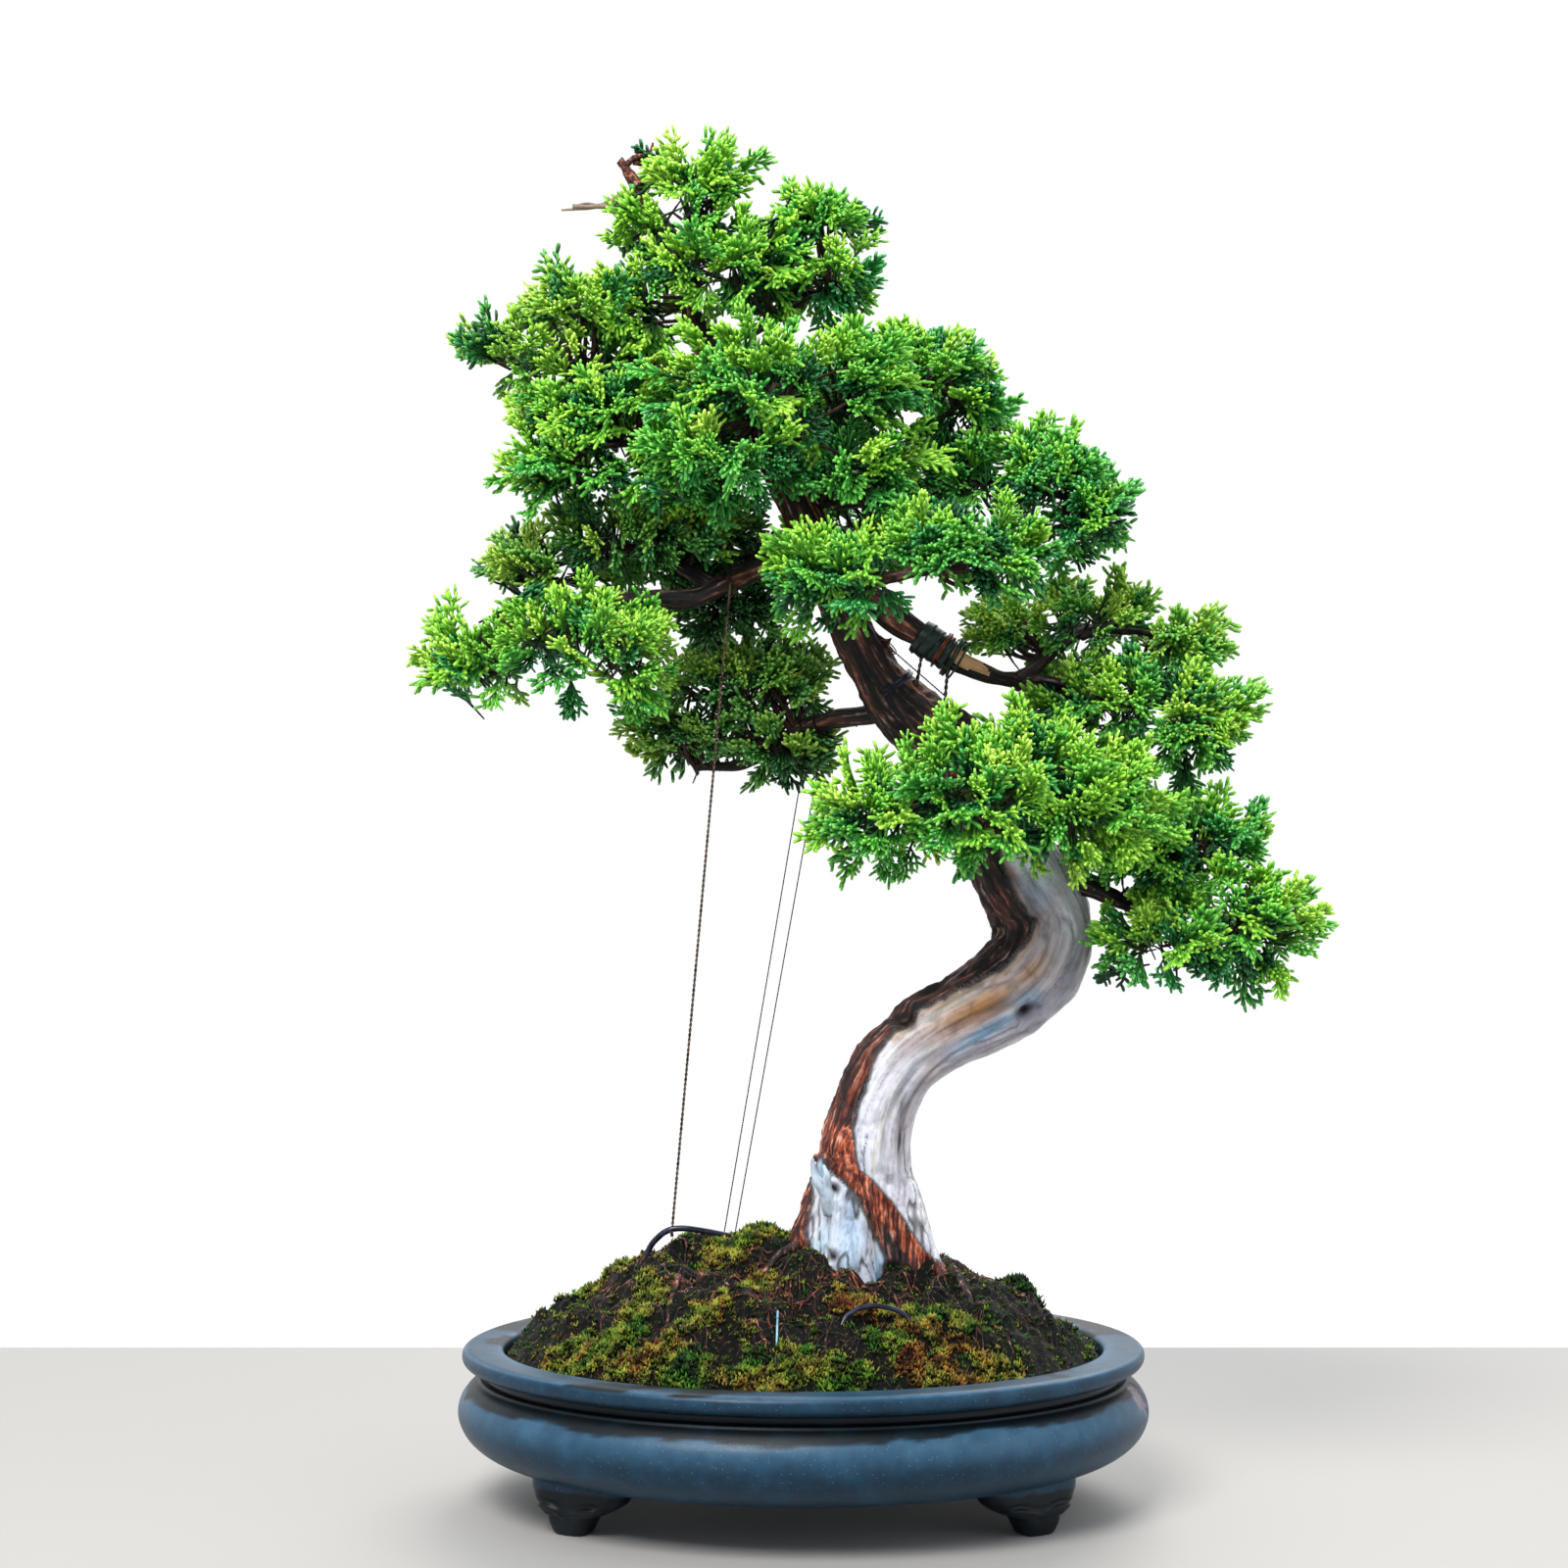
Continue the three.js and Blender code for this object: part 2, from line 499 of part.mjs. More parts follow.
// Rubber sleeves that keep the wires from cutting into the bark: the limb, the stretch of
// it that is covered, and the thickness of the rubber.
const SLEEVES = {
  branch_wrap: { carrier: 'branch_right_wired', from: 0.28, to: 0.44, thickness: 1.4 },
  trunk_strap: { carrier: 'trunk', from: 0.615, to: 0.632, thickness: 1.2 },
};
const SLEEVE_MARGIN = 0.003;      // of the limb's length, kept clear at each end
const sleeveRooms = [];
for (const [name, { carrier, from, to, thickness }] of Object.entries(SLEEVES)) {
  add(name, collar(carrier, from, to, thickness), RUBBER);
  const start = from - SLEEVE_MARGIN;
  sleeveRooms.push(collar(carrier, start, to + SLEEVE_MARGIN, thickness + GAP));
}
const sleeveRoom = join(sleeveRooms);

const placed = [];                // the room that each wire already takes up
for (const [name, { points, radius, steps, material }] of Object.entries(WIRES)) {
  let solid = wire(points, radius, { steps });
  solid = solid.subtract(soilRoom).subtract(woodRoom).subtract(sleeveRoom);
  for (const room of placed) solid = solid.subtract(room);
  add(name, largest(solid), material);
  placed.push(wire(points, radius + GAP, { steps }));
}
const wireRoom = join([...placed, sleeveRoom]);

for (const [name, patches] of Object.entries(MOSS_PATCHES)) {
  add(name, makeMoss(patches).subtract(wireRoom), MOSS);
}

let crowding = join([woodRoom, wireRoom]);
for (const [name, lobes] of Object.entries(PADS)) {
  const pad = largest(lump(lobes).subtract(crowding));
  add(name, pad, FOLIAGE);
  crowding = crowding.add(lump(lobes, GAP));
}

// The whole group is moved so that its origin is the middle of its underside.
tree.updateMatrixWorld(true);
const box = new THREE.Box3().setFromObject(tree, true);
tree.position.set(-(box.min.x + box.max.x) / 2, -(box.min.y + box.max.y) / 2, -box.min.z);

export default tree;
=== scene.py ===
# %% [markdown]
# # A juniper bonsai in an oval stoneware pot
#
# This lesson dresses a finished frame of the tree: the frame already says where every branch,
# pad, wire and wall of the pot is, and how big it is. What is left is the part the eye enjoys:
# bark, bleached wood, thousands of small green shoots, moss, and a pot that has just been watered.
#
# The first cell loads the frame and bakes each node's place into its mesh.

# %% Load the frame
import math

import bpy
import numpy as np
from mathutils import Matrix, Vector


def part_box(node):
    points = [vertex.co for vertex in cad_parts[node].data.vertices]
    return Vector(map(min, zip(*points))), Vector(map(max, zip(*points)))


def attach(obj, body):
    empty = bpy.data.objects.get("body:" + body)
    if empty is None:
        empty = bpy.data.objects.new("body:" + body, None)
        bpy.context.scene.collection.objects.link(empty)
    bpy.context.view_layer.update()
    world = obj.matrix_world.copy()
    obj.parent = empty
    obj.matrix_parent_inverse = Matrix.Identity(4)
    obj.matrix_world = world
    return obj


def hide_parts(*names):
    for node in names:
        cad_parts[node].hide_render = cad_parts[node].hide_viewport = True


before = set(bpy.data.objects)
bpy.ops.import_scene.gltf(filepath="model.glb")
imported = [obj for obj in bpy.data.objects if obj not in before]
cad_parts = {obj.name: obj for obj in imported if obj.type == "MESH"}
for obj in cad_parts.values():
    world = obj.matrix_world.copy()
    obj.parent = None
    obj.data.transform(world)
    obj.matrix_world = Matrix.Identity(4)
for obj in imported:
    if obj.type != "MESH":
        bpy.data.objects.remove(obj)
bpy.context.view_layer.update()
MM = 0.001                                  # this lesson thinks in millimetres, Blender in metres
BODY = "root"                               # nothing on a potted tree is jointed: one body
print("frame holds", len(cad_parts), "nodes")

# %% [markdown]
# ## The camera
#
# A tree like this is shown from its front, level, from a little above the rim of the pot and from
# far enough away that nothing is stretched. A longer lens than normal does that. The camera is
# kept level, so upright things stay upright, and everything else is measured from the pot.

# %% Set the camera
POT_LOW, POT_HIGH = (Vector(corner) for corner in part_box("pot"))
POT_MIDDLE = (POT_LOW + POT_HIGH) / 2
VIEW_DISTANCE = 1.395                       # from the middle of the pot to the lens
VIEW_HEIGHT = 0.3285                        # of the lens above what the pot stands on
VIEW_SIDESTEP = -0.0088                     # the lens is a little left of the pot's middle
LENS = 69.75                                # focal length in millimetres
FILM_WIDTH = 36.0

camera_data = bpy.data.cameras.new("front_view")
camera_data.lens = LENS
camera_data.sensor_width = FILM_WIDTH
camera = bpy.data.objects.new("front_view", camera_data)
camera.location = (POT_MIDDLE.x + VIEW_SIDESTEP, POT_MIDDLE.y - VIEW_DISTANCE, VIEW_HEIGHT)
camera.rotation_euler = (math.pi / 2, 0, 0)
bpy.context.scene.collection.objects.link(camera)
bpy.context.scene.camera = camera
print("camera at", tuple(round(v, 3) for v in camera.location))

# %% [markdown]
# ## One helper for colours and one for nodes
#
# Paint charts give colours as hex codes meant for a screen, while Blender mixes light linearly.
# One function turns the first into the second. Another adds a shader node, fills in its settings
# and plugs in its links, so that every material below reads like a short recipe. In a MapRange
# node, 1 and 2 are the range that it reads and 3 and 4 the range that it gives.

# %% Helpers for colours and nodes
def linear(hex_code):
    """A screen colour such as "3f7a2a" as the linear colour that a shader wants."""
    channels = [int(hex_code[i:i + 2], 16) / 255 for i in (0, 2, 4)]
    return (*(c / 12.92 if c <= 0.04045 else ((c + 0.055) / 1.055) ** 2.4 for c in channels), 1.0)


def socket_of(source):
    """The socket that a node gives its result from. A socket is passed on as it is."""
    if isinstance(source, bpy.types.Node):
        return next(socket for socket in source.outputs if socket.enabled)
    return source


def node(tree, kind, settings=None, **links):
    """Add a shader node. settings are its own properties, with "stops" for the (place, hex)
    stops of a colour ramp. Each link is named for an input socket, with _ for a space or before
    a socket's number, and holds a value, a hex colour, a socket or another node."""
    new = tree.nodes.new("ShaderNode" + kind)
    for name, value in (settings or {}).items():
        if name != "stops":
            setattr(new, name, value)
            continue
        elements = new.color_ramp.elements
        while len(elements) < len(value):
            elements.new(0.5)
        for element, (place, hex_code) in zip(elements, value):
            element.position = place
            element.color = linear(hex_code)
    for name, value in links.items():
        words = name.replace("_", " ")
        socket = (new.inputs[int(name[1:])] if name[1:].isdigit()
                  else next(s for s in new.inputs if s.name == words and s.enabled))
        value = socket_of(value)
        if isinstance(value, bpy.types.NodeSocket):
            tree.links.new(value, socket)
        else:
            socket.default_value = linear(value) if isinstance(value, str) else value
    return new


MIX_COLOURS = {"data_type": "RGBA"}         # with it a Mix node mixes colours and not numbers


def blank_material(name):
    """A material with its principled shader, ready for links."""
    material = bpy.data.materials.new(name)
    material.use_nodes = True
    return material, material.node_tree, material.node_tree.nodes["Principled BSDF"]


def finish_shader(tree, shader, colour=None, roughness=None, normal=None, **fixed):
    """Links the sockets that change over the surface and sets the ones that don't."""
    for name, maker in (("Base Color", colour), ("Roughness", roughness), ("Normal", normal)):
        if isinstance(maker, (int, float)):
            shader.inputs[name].default_value = maker
        elif maker is not None:
            tree.links.new(socket_of(maker), shader.inputs[name])
    for name, value in fixed.items():
        shader.inputs[name.replace("_", " ")].default_value = value


def make_mottled(name, size, detail, stops, gloss, bump, **fixed):
    """A finish that needs only one noise, of a size in millimetres. Its colour and its bumps
    follow the noise, and so does its roughness when gloss is a pair. bump is strength and depth."""
    material, tree, shader = blank_material(name)
    place = node(tree, "TexCoord").outputs["Object"]
    mottle = node(tree, "TexNoise", Vector=place, Scale=1 / (size * MM), Detail=detail)
    colour = node(tree, "ValToRGB", {"stops": stops}, Fac=mottle)
    if isinstance(gloss, tuple):
        gloss = node(tree, "MapRange", Value=mottle, _1=0.3, _2=0.7, _3=gloss[0], _4=gloss[1])
    bumps = node(tree, "Bump", Strength=bump[0], Distance=bump[1] * MM, Height=mottle)
    finish_shader(tree, shader, colour, gloss, bumps, **fixed)
    return material


print("helpers ready: linear, socket_of, node, blank_material, finish_shader, make_mottled")

# %% [markdown]
# ## Light and ground
#
# Small glossy leaves and wet clay both want one broad soft light above and in front, with a room
# that is white behind the tree and darker and bluer behind the viewer, as it is beside a window.
# The darker side keeps the wet clay deep. The ground is a plain pale table top that slopes away
# behind the pot, out of the front view's sight. Colours are shown as they are, without a film
# look, so that a paint chart's hex code comes out as it went in.

# %% Build the light and the ground
TABLE_HALF = 3.0                            # half the table's width, and the length of its slope
TABLE_BACK = POT_MIDDLE.y + 0.376           # where the slope begins
SLOPE_DROP = 0.22 * TABLE_HALF              # steeper than the front view's line over the edge


def make_ground():
    """A plain pale table top under the pot that slopes away behind it."""
    section = ((-TABLE_HALF, 0), (TABLE_BACK, 0), (TABLE_BACK + TABLE_HALF, -SLOPE_DROP))
    corners = [(side * TABLE_HALF, y, z) for y, z in section for side in (-1, 1)]
    mesh = bpy.data.meshes.new("ground")
    mesh.from_pydata(corners, [], [(0, 1, 3, 2), (2, 3, 5, 4)])
    ground = bpy.data.objects.new("ground", mesh)
    bpy.context.scene.collection.objects.link(ground)
    material, tree, shader = blank_material("pale_floor")
    finish_shader(tree, shader, roughness=0.6, Base_Color=linear("aca8a2"))
    mesh.materials.append(material)


def make_lamp(name, power, size, place, aim=(0, 0, 0.35)):
    """A square soft light at place, turned to look at aim."""
    data = bpy.data.lights.new(name, "AREA")
    data.energy = power
    data.size = size
    lamp = bpy.data.objects.new(name, data)
    lamp.location = place
    direction = Vector(aim) - Vector(place)
    lamp.rotation_euler = direction.to_track_quat("-Z", "Y").to_euler()
    bpy.context.scene.collection.objects.link(lamp)


make_ground()
make_lamp("key_light", 66, 1.1, (-0.7, -1.5, 2.0))
make_lamp("fill_light", 12, 2.0, (1.8, -1.2, 1.2))
make_lamp("back_light", 34, 1.6, (0.5, 1.6, 2.0))
world = bpy.data.worlds.new("pale_room")
world.use_nodes = True
room = world.node_tree
direction = node(room, "TexCoord").outputs["Generated"]
depth = node(room, "SeparateXYZ", Vector=direction).outputs["Y"]
toward = node(room, "MapRange", Value=depth, _1=-1.0, _2=1.0, _3=0.0, _4=1.0)
tint = node(room, "ValToRGB", {"stops": [(0.15, "b3c8e2"), (0.8, "fcfdff")]}, Fac=toward)
walls = node(room, "MapRange", Value=depth, _1=-0.7, _2=0.5, _3=0.72, _4=1.05)
backdrop = room.nodes["Background"]
room.links.new(socket_of(tint), backdrop.inputs["Color"])
room.links.new(socket_of(walls), backdrop.inputs["Strength"])
bpy.context.scene.world = world
bpy.context.scene.view_settings.view_transform = "Standard"
print("three soft lights and a pale room")

# %% [markdown]
# ## Meshes from numbers
#
# Bark, shoots and moss are far too many shapes to place by hand, so they are made as arrays of
# points and faces. These helpers turn arrays into a finished piece, read a frame node back as
# arrays, and join several shapes into one.

# %% Helpers that turn arrays into pieces
def make_piece(name, points, faces, materials, slot, stands_for=(), marks=None, which=None):
    """A finished piece from points in millimetres. faces is a list of arrays with 3 or 4 columns,
    marks are named numbers per point for the shader, and which is each face's material."""
    mesh = bpy.data.meshes.new(name)
    counts = np.concatenate([np.full(len(f), f.shape[1]) for f in faces])
    loops = np.concatenate([f.ravel() for f in faces]).astype(np.int32)
    mesh.vertices.add(len(points))
    mesh.vertices.foreach_set("co", (points * MM).astype(np.float32).ravel())
    mesh.loops.add(len(loops))
    mesh.loops.foreach_set("vertex_index", loops)
    mesh.polygons.add(len(counts))
    mesh.polygons.foreach_set("loop_start", np.concatenate([[0], np.cumsum(counts)[:-1]]))
    mesh.polygons.foreach_set("use_smooth", np.ones(len(counts), bool))
    for material in materials:
        mesh.materials.append(material)
    if which is not None:
        mesh.polygons.foreach_set("material_index", which.astype(np.int32))
    mesh.update(calc_edges=True)
    for mark, values in (marks or {}).items():
        wide = values.ndim == 2
        channel = mesh.attributes.new(mark, "FLOAT_VECTOR" if wide else "FLOAT", "POINT")
        channel.data.foreach_set("vector" if wide else "value", values.astype(np.float32).ravel())
    piece = bpy.data.objects.new(name, mesh)
    bpy.context.scene.collection.objects.link(piece)
    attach(piece, BODY)
    if stands_for:
        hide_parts(*stands_for)
    return piece


def mesh_points(mesh):
    """A mesh's points in millimetres."""
    points = np.empty(len(mesh.vertices) * 3, np.float32)
    mesh.vertices.foreach_get("co", points)
    return points.reshape(-1, 3).astype(float) / MM


def read_node(name):
    """A frame node's points in millimetres and its triangles."""
    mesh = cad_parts[name].data
    mesh.calc_loop_triangles()
    triangles = np.empty(len(mesh.loop_triangles) * 3, np.int32)
    mesh.loop_triangles.foreach_get("vertices", triangles)
    return mesh_points(mesh), triangles.reshape(-1, 3)


def gather(parts):
    """Several (points, faces) as one."""
    points, by_width, base = [], {}, 0
    for part_points, part_faces in parts:
        points.append(part_points)
        for faces in part_faces:
            by_width.setdefault(faces.shape[1], []).append(faces + base)
        base += len(part_points)
    return np.vstack(points), [np.vstack(faces) for faces in by_width.values()]


print("array helpers ready")

# %% [markdown]
# ## Curves, tubes and soft noise
#
# Everything that grows is a tube of some kind, so one function carries a ring along a path. Soft
# noise gives bumps with a spacing that is chosen in millimetres. It always gives the same answer
# for the same place, so the tree is the same each time it is made.

# %% Helpers for curves and noise
def unit(vectors):
    """Each row scaled to length one."""
    return vectors / np.maximum(np.linalg.norm(vectors, axis=-1, keepdims=True), 1e-9)


def lumps(points, seed=0):
    """Soft random bumps between -1 and 1 with a spacing of one."""
    cell = np.floor(points).astype(np.int64)
    part = points - cell
    part = part * part * (3 - 2 * part)
    total = np.zeros(len(points))
    for corner in np.ndindex(2, 2, 2):
        key = cell + corner
        mixed = (key[:, 0] * 73856093) ^ (key[:, 1] * 19349663) ^ (key[:, 2] * 83492791) ^ seed
        mixed = ((mixed ^ (mixed >> 13)) * 1274126177) & 0x7FFFFFFF
        value = (mixed ^ (mixed >> 16)) % 65536 / 32768 - 1
        total += value * np.prod(np.where(corner, part, 1 - part), axis=1)
    return total


def smooth_step(low, high, values):
    """0 below low, 1 above high and a soft change between."""
    t = np.clip((values - low) / (high - low), 0, 1)
    return t * t * (3 - 2 * t)


def curve_through(points, steps):
    """Even steps along a smooth curve through a few points."""
    points = np.asarray(points, float)
    padded = np.vstack([2 * points[0] - points[1], points, 2 * points[-1] - points[-2]])
    at = np.linspace(0, len(points) - 1, steps)
    i = np.minimum(at.astype(int), len(points) - 2)
    t = (at - i)[:, None]
    a, b, c, d = (padded[i + k] for k in range(4))
    return 0.5 * (2 * b + (c - a) * t + (2 * a - 5 * b + 4 * c - d) * t ** 2
                  + (3 * b - a - 3 * c + d) * t ** 3)


def ring_frames(path):
    """Two directions across the path at each of its points, turning no more than they must."""
    along = unit(np.gradient(path, axis=0))
    side = np.cross(along[0], [0.3, 0.9, 0.2])
    sides = []
    for direction in along:
        side = side - direction * np.dot(side, direction)
        side = side / np.linalg.norm(side)
        sides.append(side)
    sides = np.array(sides)
    return sides, np.cross(along, sides)


def skin_rings(rings, ends):
    """Points and faces of a closed solid from rings of points, one row each, and the middles of
    its two ends."""
    steps, sides = rings.shape[:2]
    row, column = np.meshgrid(np.arange(steps - 1), np.arange(sides), indexing="ij")
    first = (row * sides + column).ravel()
    after = (row * sides + (column + 1) % sides).ravel()
    walls = np.stack([first, after, after + sides, first + sides], axis=1)
    k = np.arange(sides)
    nxt = (k + 1) % sides
    last = (steps - 1) * sides
    start = np.stack([np.full(sides, steps * sides), nxt, k], axis=1)
    end = np.stack([np.full(sides, steps * sides + 1), last + k, last + nxt], axis=1)
    return np.vstack([rings.reshape(-1, 3), ends]), [walls, np.vstack([start, end])]


def tube(path, radii, sides=8):
    """Points and faces of a closed tube along a path. radii is one number, one for each step, or
    a table with a row for each step and a column for each side."""
    path = np.asarray(path, float)
    steps = len(path)
    radii = np.asarray(radii, float)
    if radii.ndim < 2:
        radii = np.broadcast_to(radii, steps)[:, None]
    side, other = ring_frames(path)
    angle = np.arange(sides) * 2 * math.pi / sides
    across = (np.cos(angle)[None, :, None] * side[:, None]
              + np.sin(angle)[None, :, None] * other[:, None])
    rings = path[:, None] + np.broadcast_to(radii, (steps, sides))[:, :, None] * across
    return skin_rings(rings, path[[0, -1]])


print("curve helpers ready")

# %% [markdown]
# ## Two kinds of wood
#
# An old juniper is half alive. A ribbon of living bark climbs the trunk, and the rest has been
# stripped and has bleached in the sun. Bark is fibrous and peels in long strips: nearly black
# where it is old and damp, and orange-red where a strip has just come off. The bare wood is
# silky, hard and pale, with hair-fine grain, and rain has drawn blue-grey and ochre stains down
# it; one pale blue patch high on the upper bend is painted shade, the blue cast of the shade under
# the foliage. Both finishes read marks on the mesh: "grain" is a place measured round and along
# the limb, so that streaks run with the wood and bend where it bends.

# %% Materials: juniper bark and bleached deadwood
FIBRE = 1.8                                 # width of one bark fibre, drawn coarser than life
GRAIN = 1.7                                 # width of a line of wood grain, drawn coarser too
FLAKE = 3.0                                 # size of one loose flake of bark


def make_bark():
    material, tree, shader = blank_material("living_juniper_bark")
    grain = node(tree, "Attribute", {"attribute_name": "grain"}).outputs["Vector"]
    fresh = node(tree, "Attribute", {"attribute_name": "fresh"}).outputs["Fac"]
    fibres = node(tree, "TexNoise", Vector=grain, Scale=1 / FIBRE, Detail=5.0, Roughness=0.6)
    strips = node(tree, "TexNoise", Vector=grain, Scale=1 / (4 * FIBRE), Detail=4.0)
    place = node(tree, "TexCoord").outputs["Object"]
    flakes = node(tree, "TexNoise", Vector=place, Scale=1 / (FLAKE * MM), Detail=4.0)
    ragged_fibres = node(tree, "Mix", Factor=0.2, A=fibres, B=flakes)
    old = node(tree, "ValToRGB", {"stops": [
        (0.38, "040202"), (0.47, "0f0706"), (0.54, "26130f"), (0.60, "644439"), (0.68, "ad9793"),
    ]}, Fac=ragged_fibres)
    peeled = node(tree, "ValToRGB", {"stops": [
        (0.38, "240a06"), (0.46, "5c1d0e"), (0.52, "953a19"), (0.58, "c96f46"), (0.67, "ebb9a3"),
    ]}, Fac=ragged_fibres)
    how_fresh = node(tree, "Math", {"operation": "MULTIPLY_ADD"}, _0=strips, _1=2.6, _2=-1.3)
    how_fresh = node(tree, "Math", {"operation": "ADD", "use_clamp": True}, _0=how_fresh, _1=fresh)
    colour = node(tree, "Mix", MIX_COLOURS, Factor=how_fresh, A=old, B=peeled)
    height = node(tree, "Math", {"operation": "ADD"}, _0=ragged_fibres, _1=strips)
    bumps = node(tree, "Bump", Strength=1.0, Distance=1.3 * MM, Height=height)
    gloss = node(tree, "MapRange", Value=strips, _1=0.35, _2=0.65, _3=0.85, _4=0.48)
    finish_shader(tree, shader, colour, gloss, bumps)
    return material


def make_deadwood():
    material, tree, shader = blank_material("bleached_juniper_deadwood")
    grain = node(tree, "Attribute", {"attribute_name": "grain"}).outputs["Vector"]
    warm, cool, shade = (node(tree, "Attribute", {"attribute_name": mark}).outputs["Fac"]
                         for mark in ("warm", "cool", "shade"))
    lines = node(tree, "TexNoise", Vector=grain, Scale=1 / GRAIN, Detail=4.0, Roughness=0.6)
    bands = node(tree, "TexNoise", Vector=grain, Scale=1 / (5 * GRAIN), Detail=4.0)
    place = node(tree, "TexCoord").outputs["Object"]
    mottle = node(tree, "TexNoise", Vector=place, Scale=1 / (5 * MM), Detail=5.0, Roughness=0.65)
    pale = node(tree, "ValToRGB", {"stops": [
        (0.33, "b4adb6"), (0.43, "d2ccd4"), (0.52, "e2dfe5"), (0.62, "edecef"), (0.75, "ddd0bf"),
    ]}, Fac=bands)
    ochre = node(tree, "ValToRGB", {"stops": [
        (0.35, "8a5c30"), (0.5, "c98f52"), (0.65, "dfb283"), (0.8, "a58757"),
    ]}, Fac=bands)
    blue = node(tree, "ValToRGB", {"stops": [
        (0.3, "27415f"), (0.45, "7ea2be"), (0.6, "b4d5e6"), (0.75, "d6ecf0"),
    ]}, Fac=bands)
    colour = node(tree, "Mix", MIX_COLOURS, Factor=warm, A=pale, B=ochre)
    colour = node(tree, "Mix", MIX_COLOURS, Factor=cool, A=colour, B=blue)
    dark = node(tree, "Mix", MIX_COLOURS, Factor=shade, A=colour, B="1b1517")
    lines = node(tree, "Mix", Factor=0.45, A=lines, B=mottle)
    value = node(tree, "MapRange", Value=lines, _1=0.42, _2=0.54, _3=0.76, _4=1.06)
    lined = node(tree, "HueSaturation", Color=dark, Value=value)
    bumps = node(tree, "Bump", Strength=0.55, Distance=0.4 * MM, Height=lines)
    gloss = node(tree, "MapRange", Value=bands, _1=0.35, _2=0.65, _3=0.44, _4=0.66)
    finish_shader(tree, shader, lined, gloss, bumps)
    return material


BARK = make_bark()
DEADWOOD = make_deadwood()
print("bark and deadwood ready")

# %% [markdown]
# ## The trunk's skin
#
# The frame's trunk is a clean solid with broad facets. Remeshing it into even cells a millimetre
# or so across and relaxing them gives a smooth skin with enough points to carve. The trunk's own
# path is then used to say, for each point, how high up the trunk it belongs and on which side of
# it the point lies, even in the S-bend where the trunk runs nearly level.

# %% Remesh and measure the trunk
# The path's points are x, y and z from the middle of the pot.
TRUNK_PATH = [
    (26, 0, 92), (27, -1, 126), (29, -2, 152), (33, -4, 180), (45, -6, 202), (64, -8, 216),
    (87, -8, 228), (106, -6, 243), (112, 0, 262), (105, 4, 281), (91, 8, 303), (81, 11, 326),
    (71, 12, 343), (55, 12, 355), (42, 11, 368), (31, 9, 385), (18, 6, 410), (5, 3, 442),
    (-9, 0, 472), (-22, -2, 500), (-38, -3, 522), (-50, -1, 538), (-51, 2, 558), (-46, 3, 580),
]
PATH_STEPS = 460
CROWN_STEP = 330                            # above this step of the path the twigs begin
SKIN_CELL = 1.1                             # millimetres between the points of the trunk's skin
SKIN_RELAXING = 26                          # rounds of smoothing
FROM_POT = np.array([POT_MIDDLE.x, POT_MIDDLE.y, 0]) / MM


def even_skin(name, cell, relaxing):
    """A frame node's skin as small even faces with its facets relaxed away."""
    copy = bpy.data.objects.new("even_skin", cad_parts[name].data.copy())
    bpy.context.scene.collection.objects.link(copy)
    remesh = copy.modifiers.new("even", "REMESH")
    remesh.mode = "VOXEL"
    remesh.voxel_size = cell * MM
    made = copy.evaluated_get(bpy.context.evaluated_depsgraph_get()).to_mesh()
    points = mesh_points(made)
    faces = np.array([tuple(polygon.vertices) for polygon in made.polygons])
    bpy.data.objects.remove(copy)
    start, end = faces.ravel(), np.roll(faces, -1, axis=1).ravel()
    count = np.bincount(start, minlength=len(points))[:, None]
    for _ in range(relaxing):
        around = [np.bincount(start, points[end, k], len(points)) for k in range(3)]
        points = 0.4 * points + 0.6 * np.stack(around, axis=1) / count
    return points, faces


def outward(points, faces):
    """The direction out of the skin at each point."""
    a, b, c, d = (points[faces[:, k]] for k in range(4))
    cross = np.cross(c - a, d - b)
    total = [np.bincount(faces.ravel(), np.repeat(cross[:, k], 4), len(points)) for k in range(3)]
    return unit(np.stack(total, axis=1))


def around_path(points, path):
    """For each point: the path's point beside it, the distance along the path, and the angle
    round it, with 0 at the front and -90 degrees at the left."""
    along = unit(np.gradient(path, axis=0))
    length = np.concatenate([[0], np.cumsum(np.linalg.norm(np.diff(path, axis=0), axis=1))])
    nearest = np.concatenate([
        np.argmin(((block[:, None] - path) ** 2).sum(axis=2), axis=1)
        for block in np.array_split(points, 1 + len(points) // 4000)
    ])
    direction = along[nearest]
    front = unit(np.array([0, -1, 0]) - direction * direction @ np.array([[0], [-1], [0]]))
    offset = points - path[nearest]
    side = np.cross(direction, front)
    angle = np.degrees(np.arctan2((offset * side).sum(axis=1), (offset * front).sum(axis=1)))
    return path[nearest], length[nearest] + (offset * direction).sum(axis=1), angle


trunk_points, trunk_faces = even_skin("trunk", SKIN_CELL, SKIN_RELAXING)
trunk_normals = outward(trunk_points, trunk_faces)
trunk_path = curve_through(np.array(TRUNK_PATH) + FROM_POT, PATH_STEPS)
beside, trunk_length, trunk_angle = around_path(trunk_points, trunk_path)
print("trunk skin has", len(trunk_points), "points; path is", round(trunk_length.max()), "mm long")

# %% [markdown]
# ## Painting the living vein
#
# The bark covers the left of the trunk and the inside of its bends, wraps right round above the
# second bend, and at the foot splits around a dead front root. Each rule below gives a distance
# in millimetres from the edge of the bark, above zero inside it. The bark stands proud of the
# dead wood with a rolled lip, where the tree tries to heal over it.

# %% Find where the bark lies
# Height of the path, then degrees of bark towards the front and the back of the left side.
VEIN = np.array([
    (92, 60, 80), (160, 66, 70), (180, 60, 60), (193, 55, 55), (202, 46, 50), (215, 42, 45),
    (228, 45, 50), (243, 53, 58), (262, 68, 62), (281, 62, 70), (292, 66, 80), (303, 90, 120),
    (316, 150, 186), (324, 186, 186), (600, 186, 186),
])
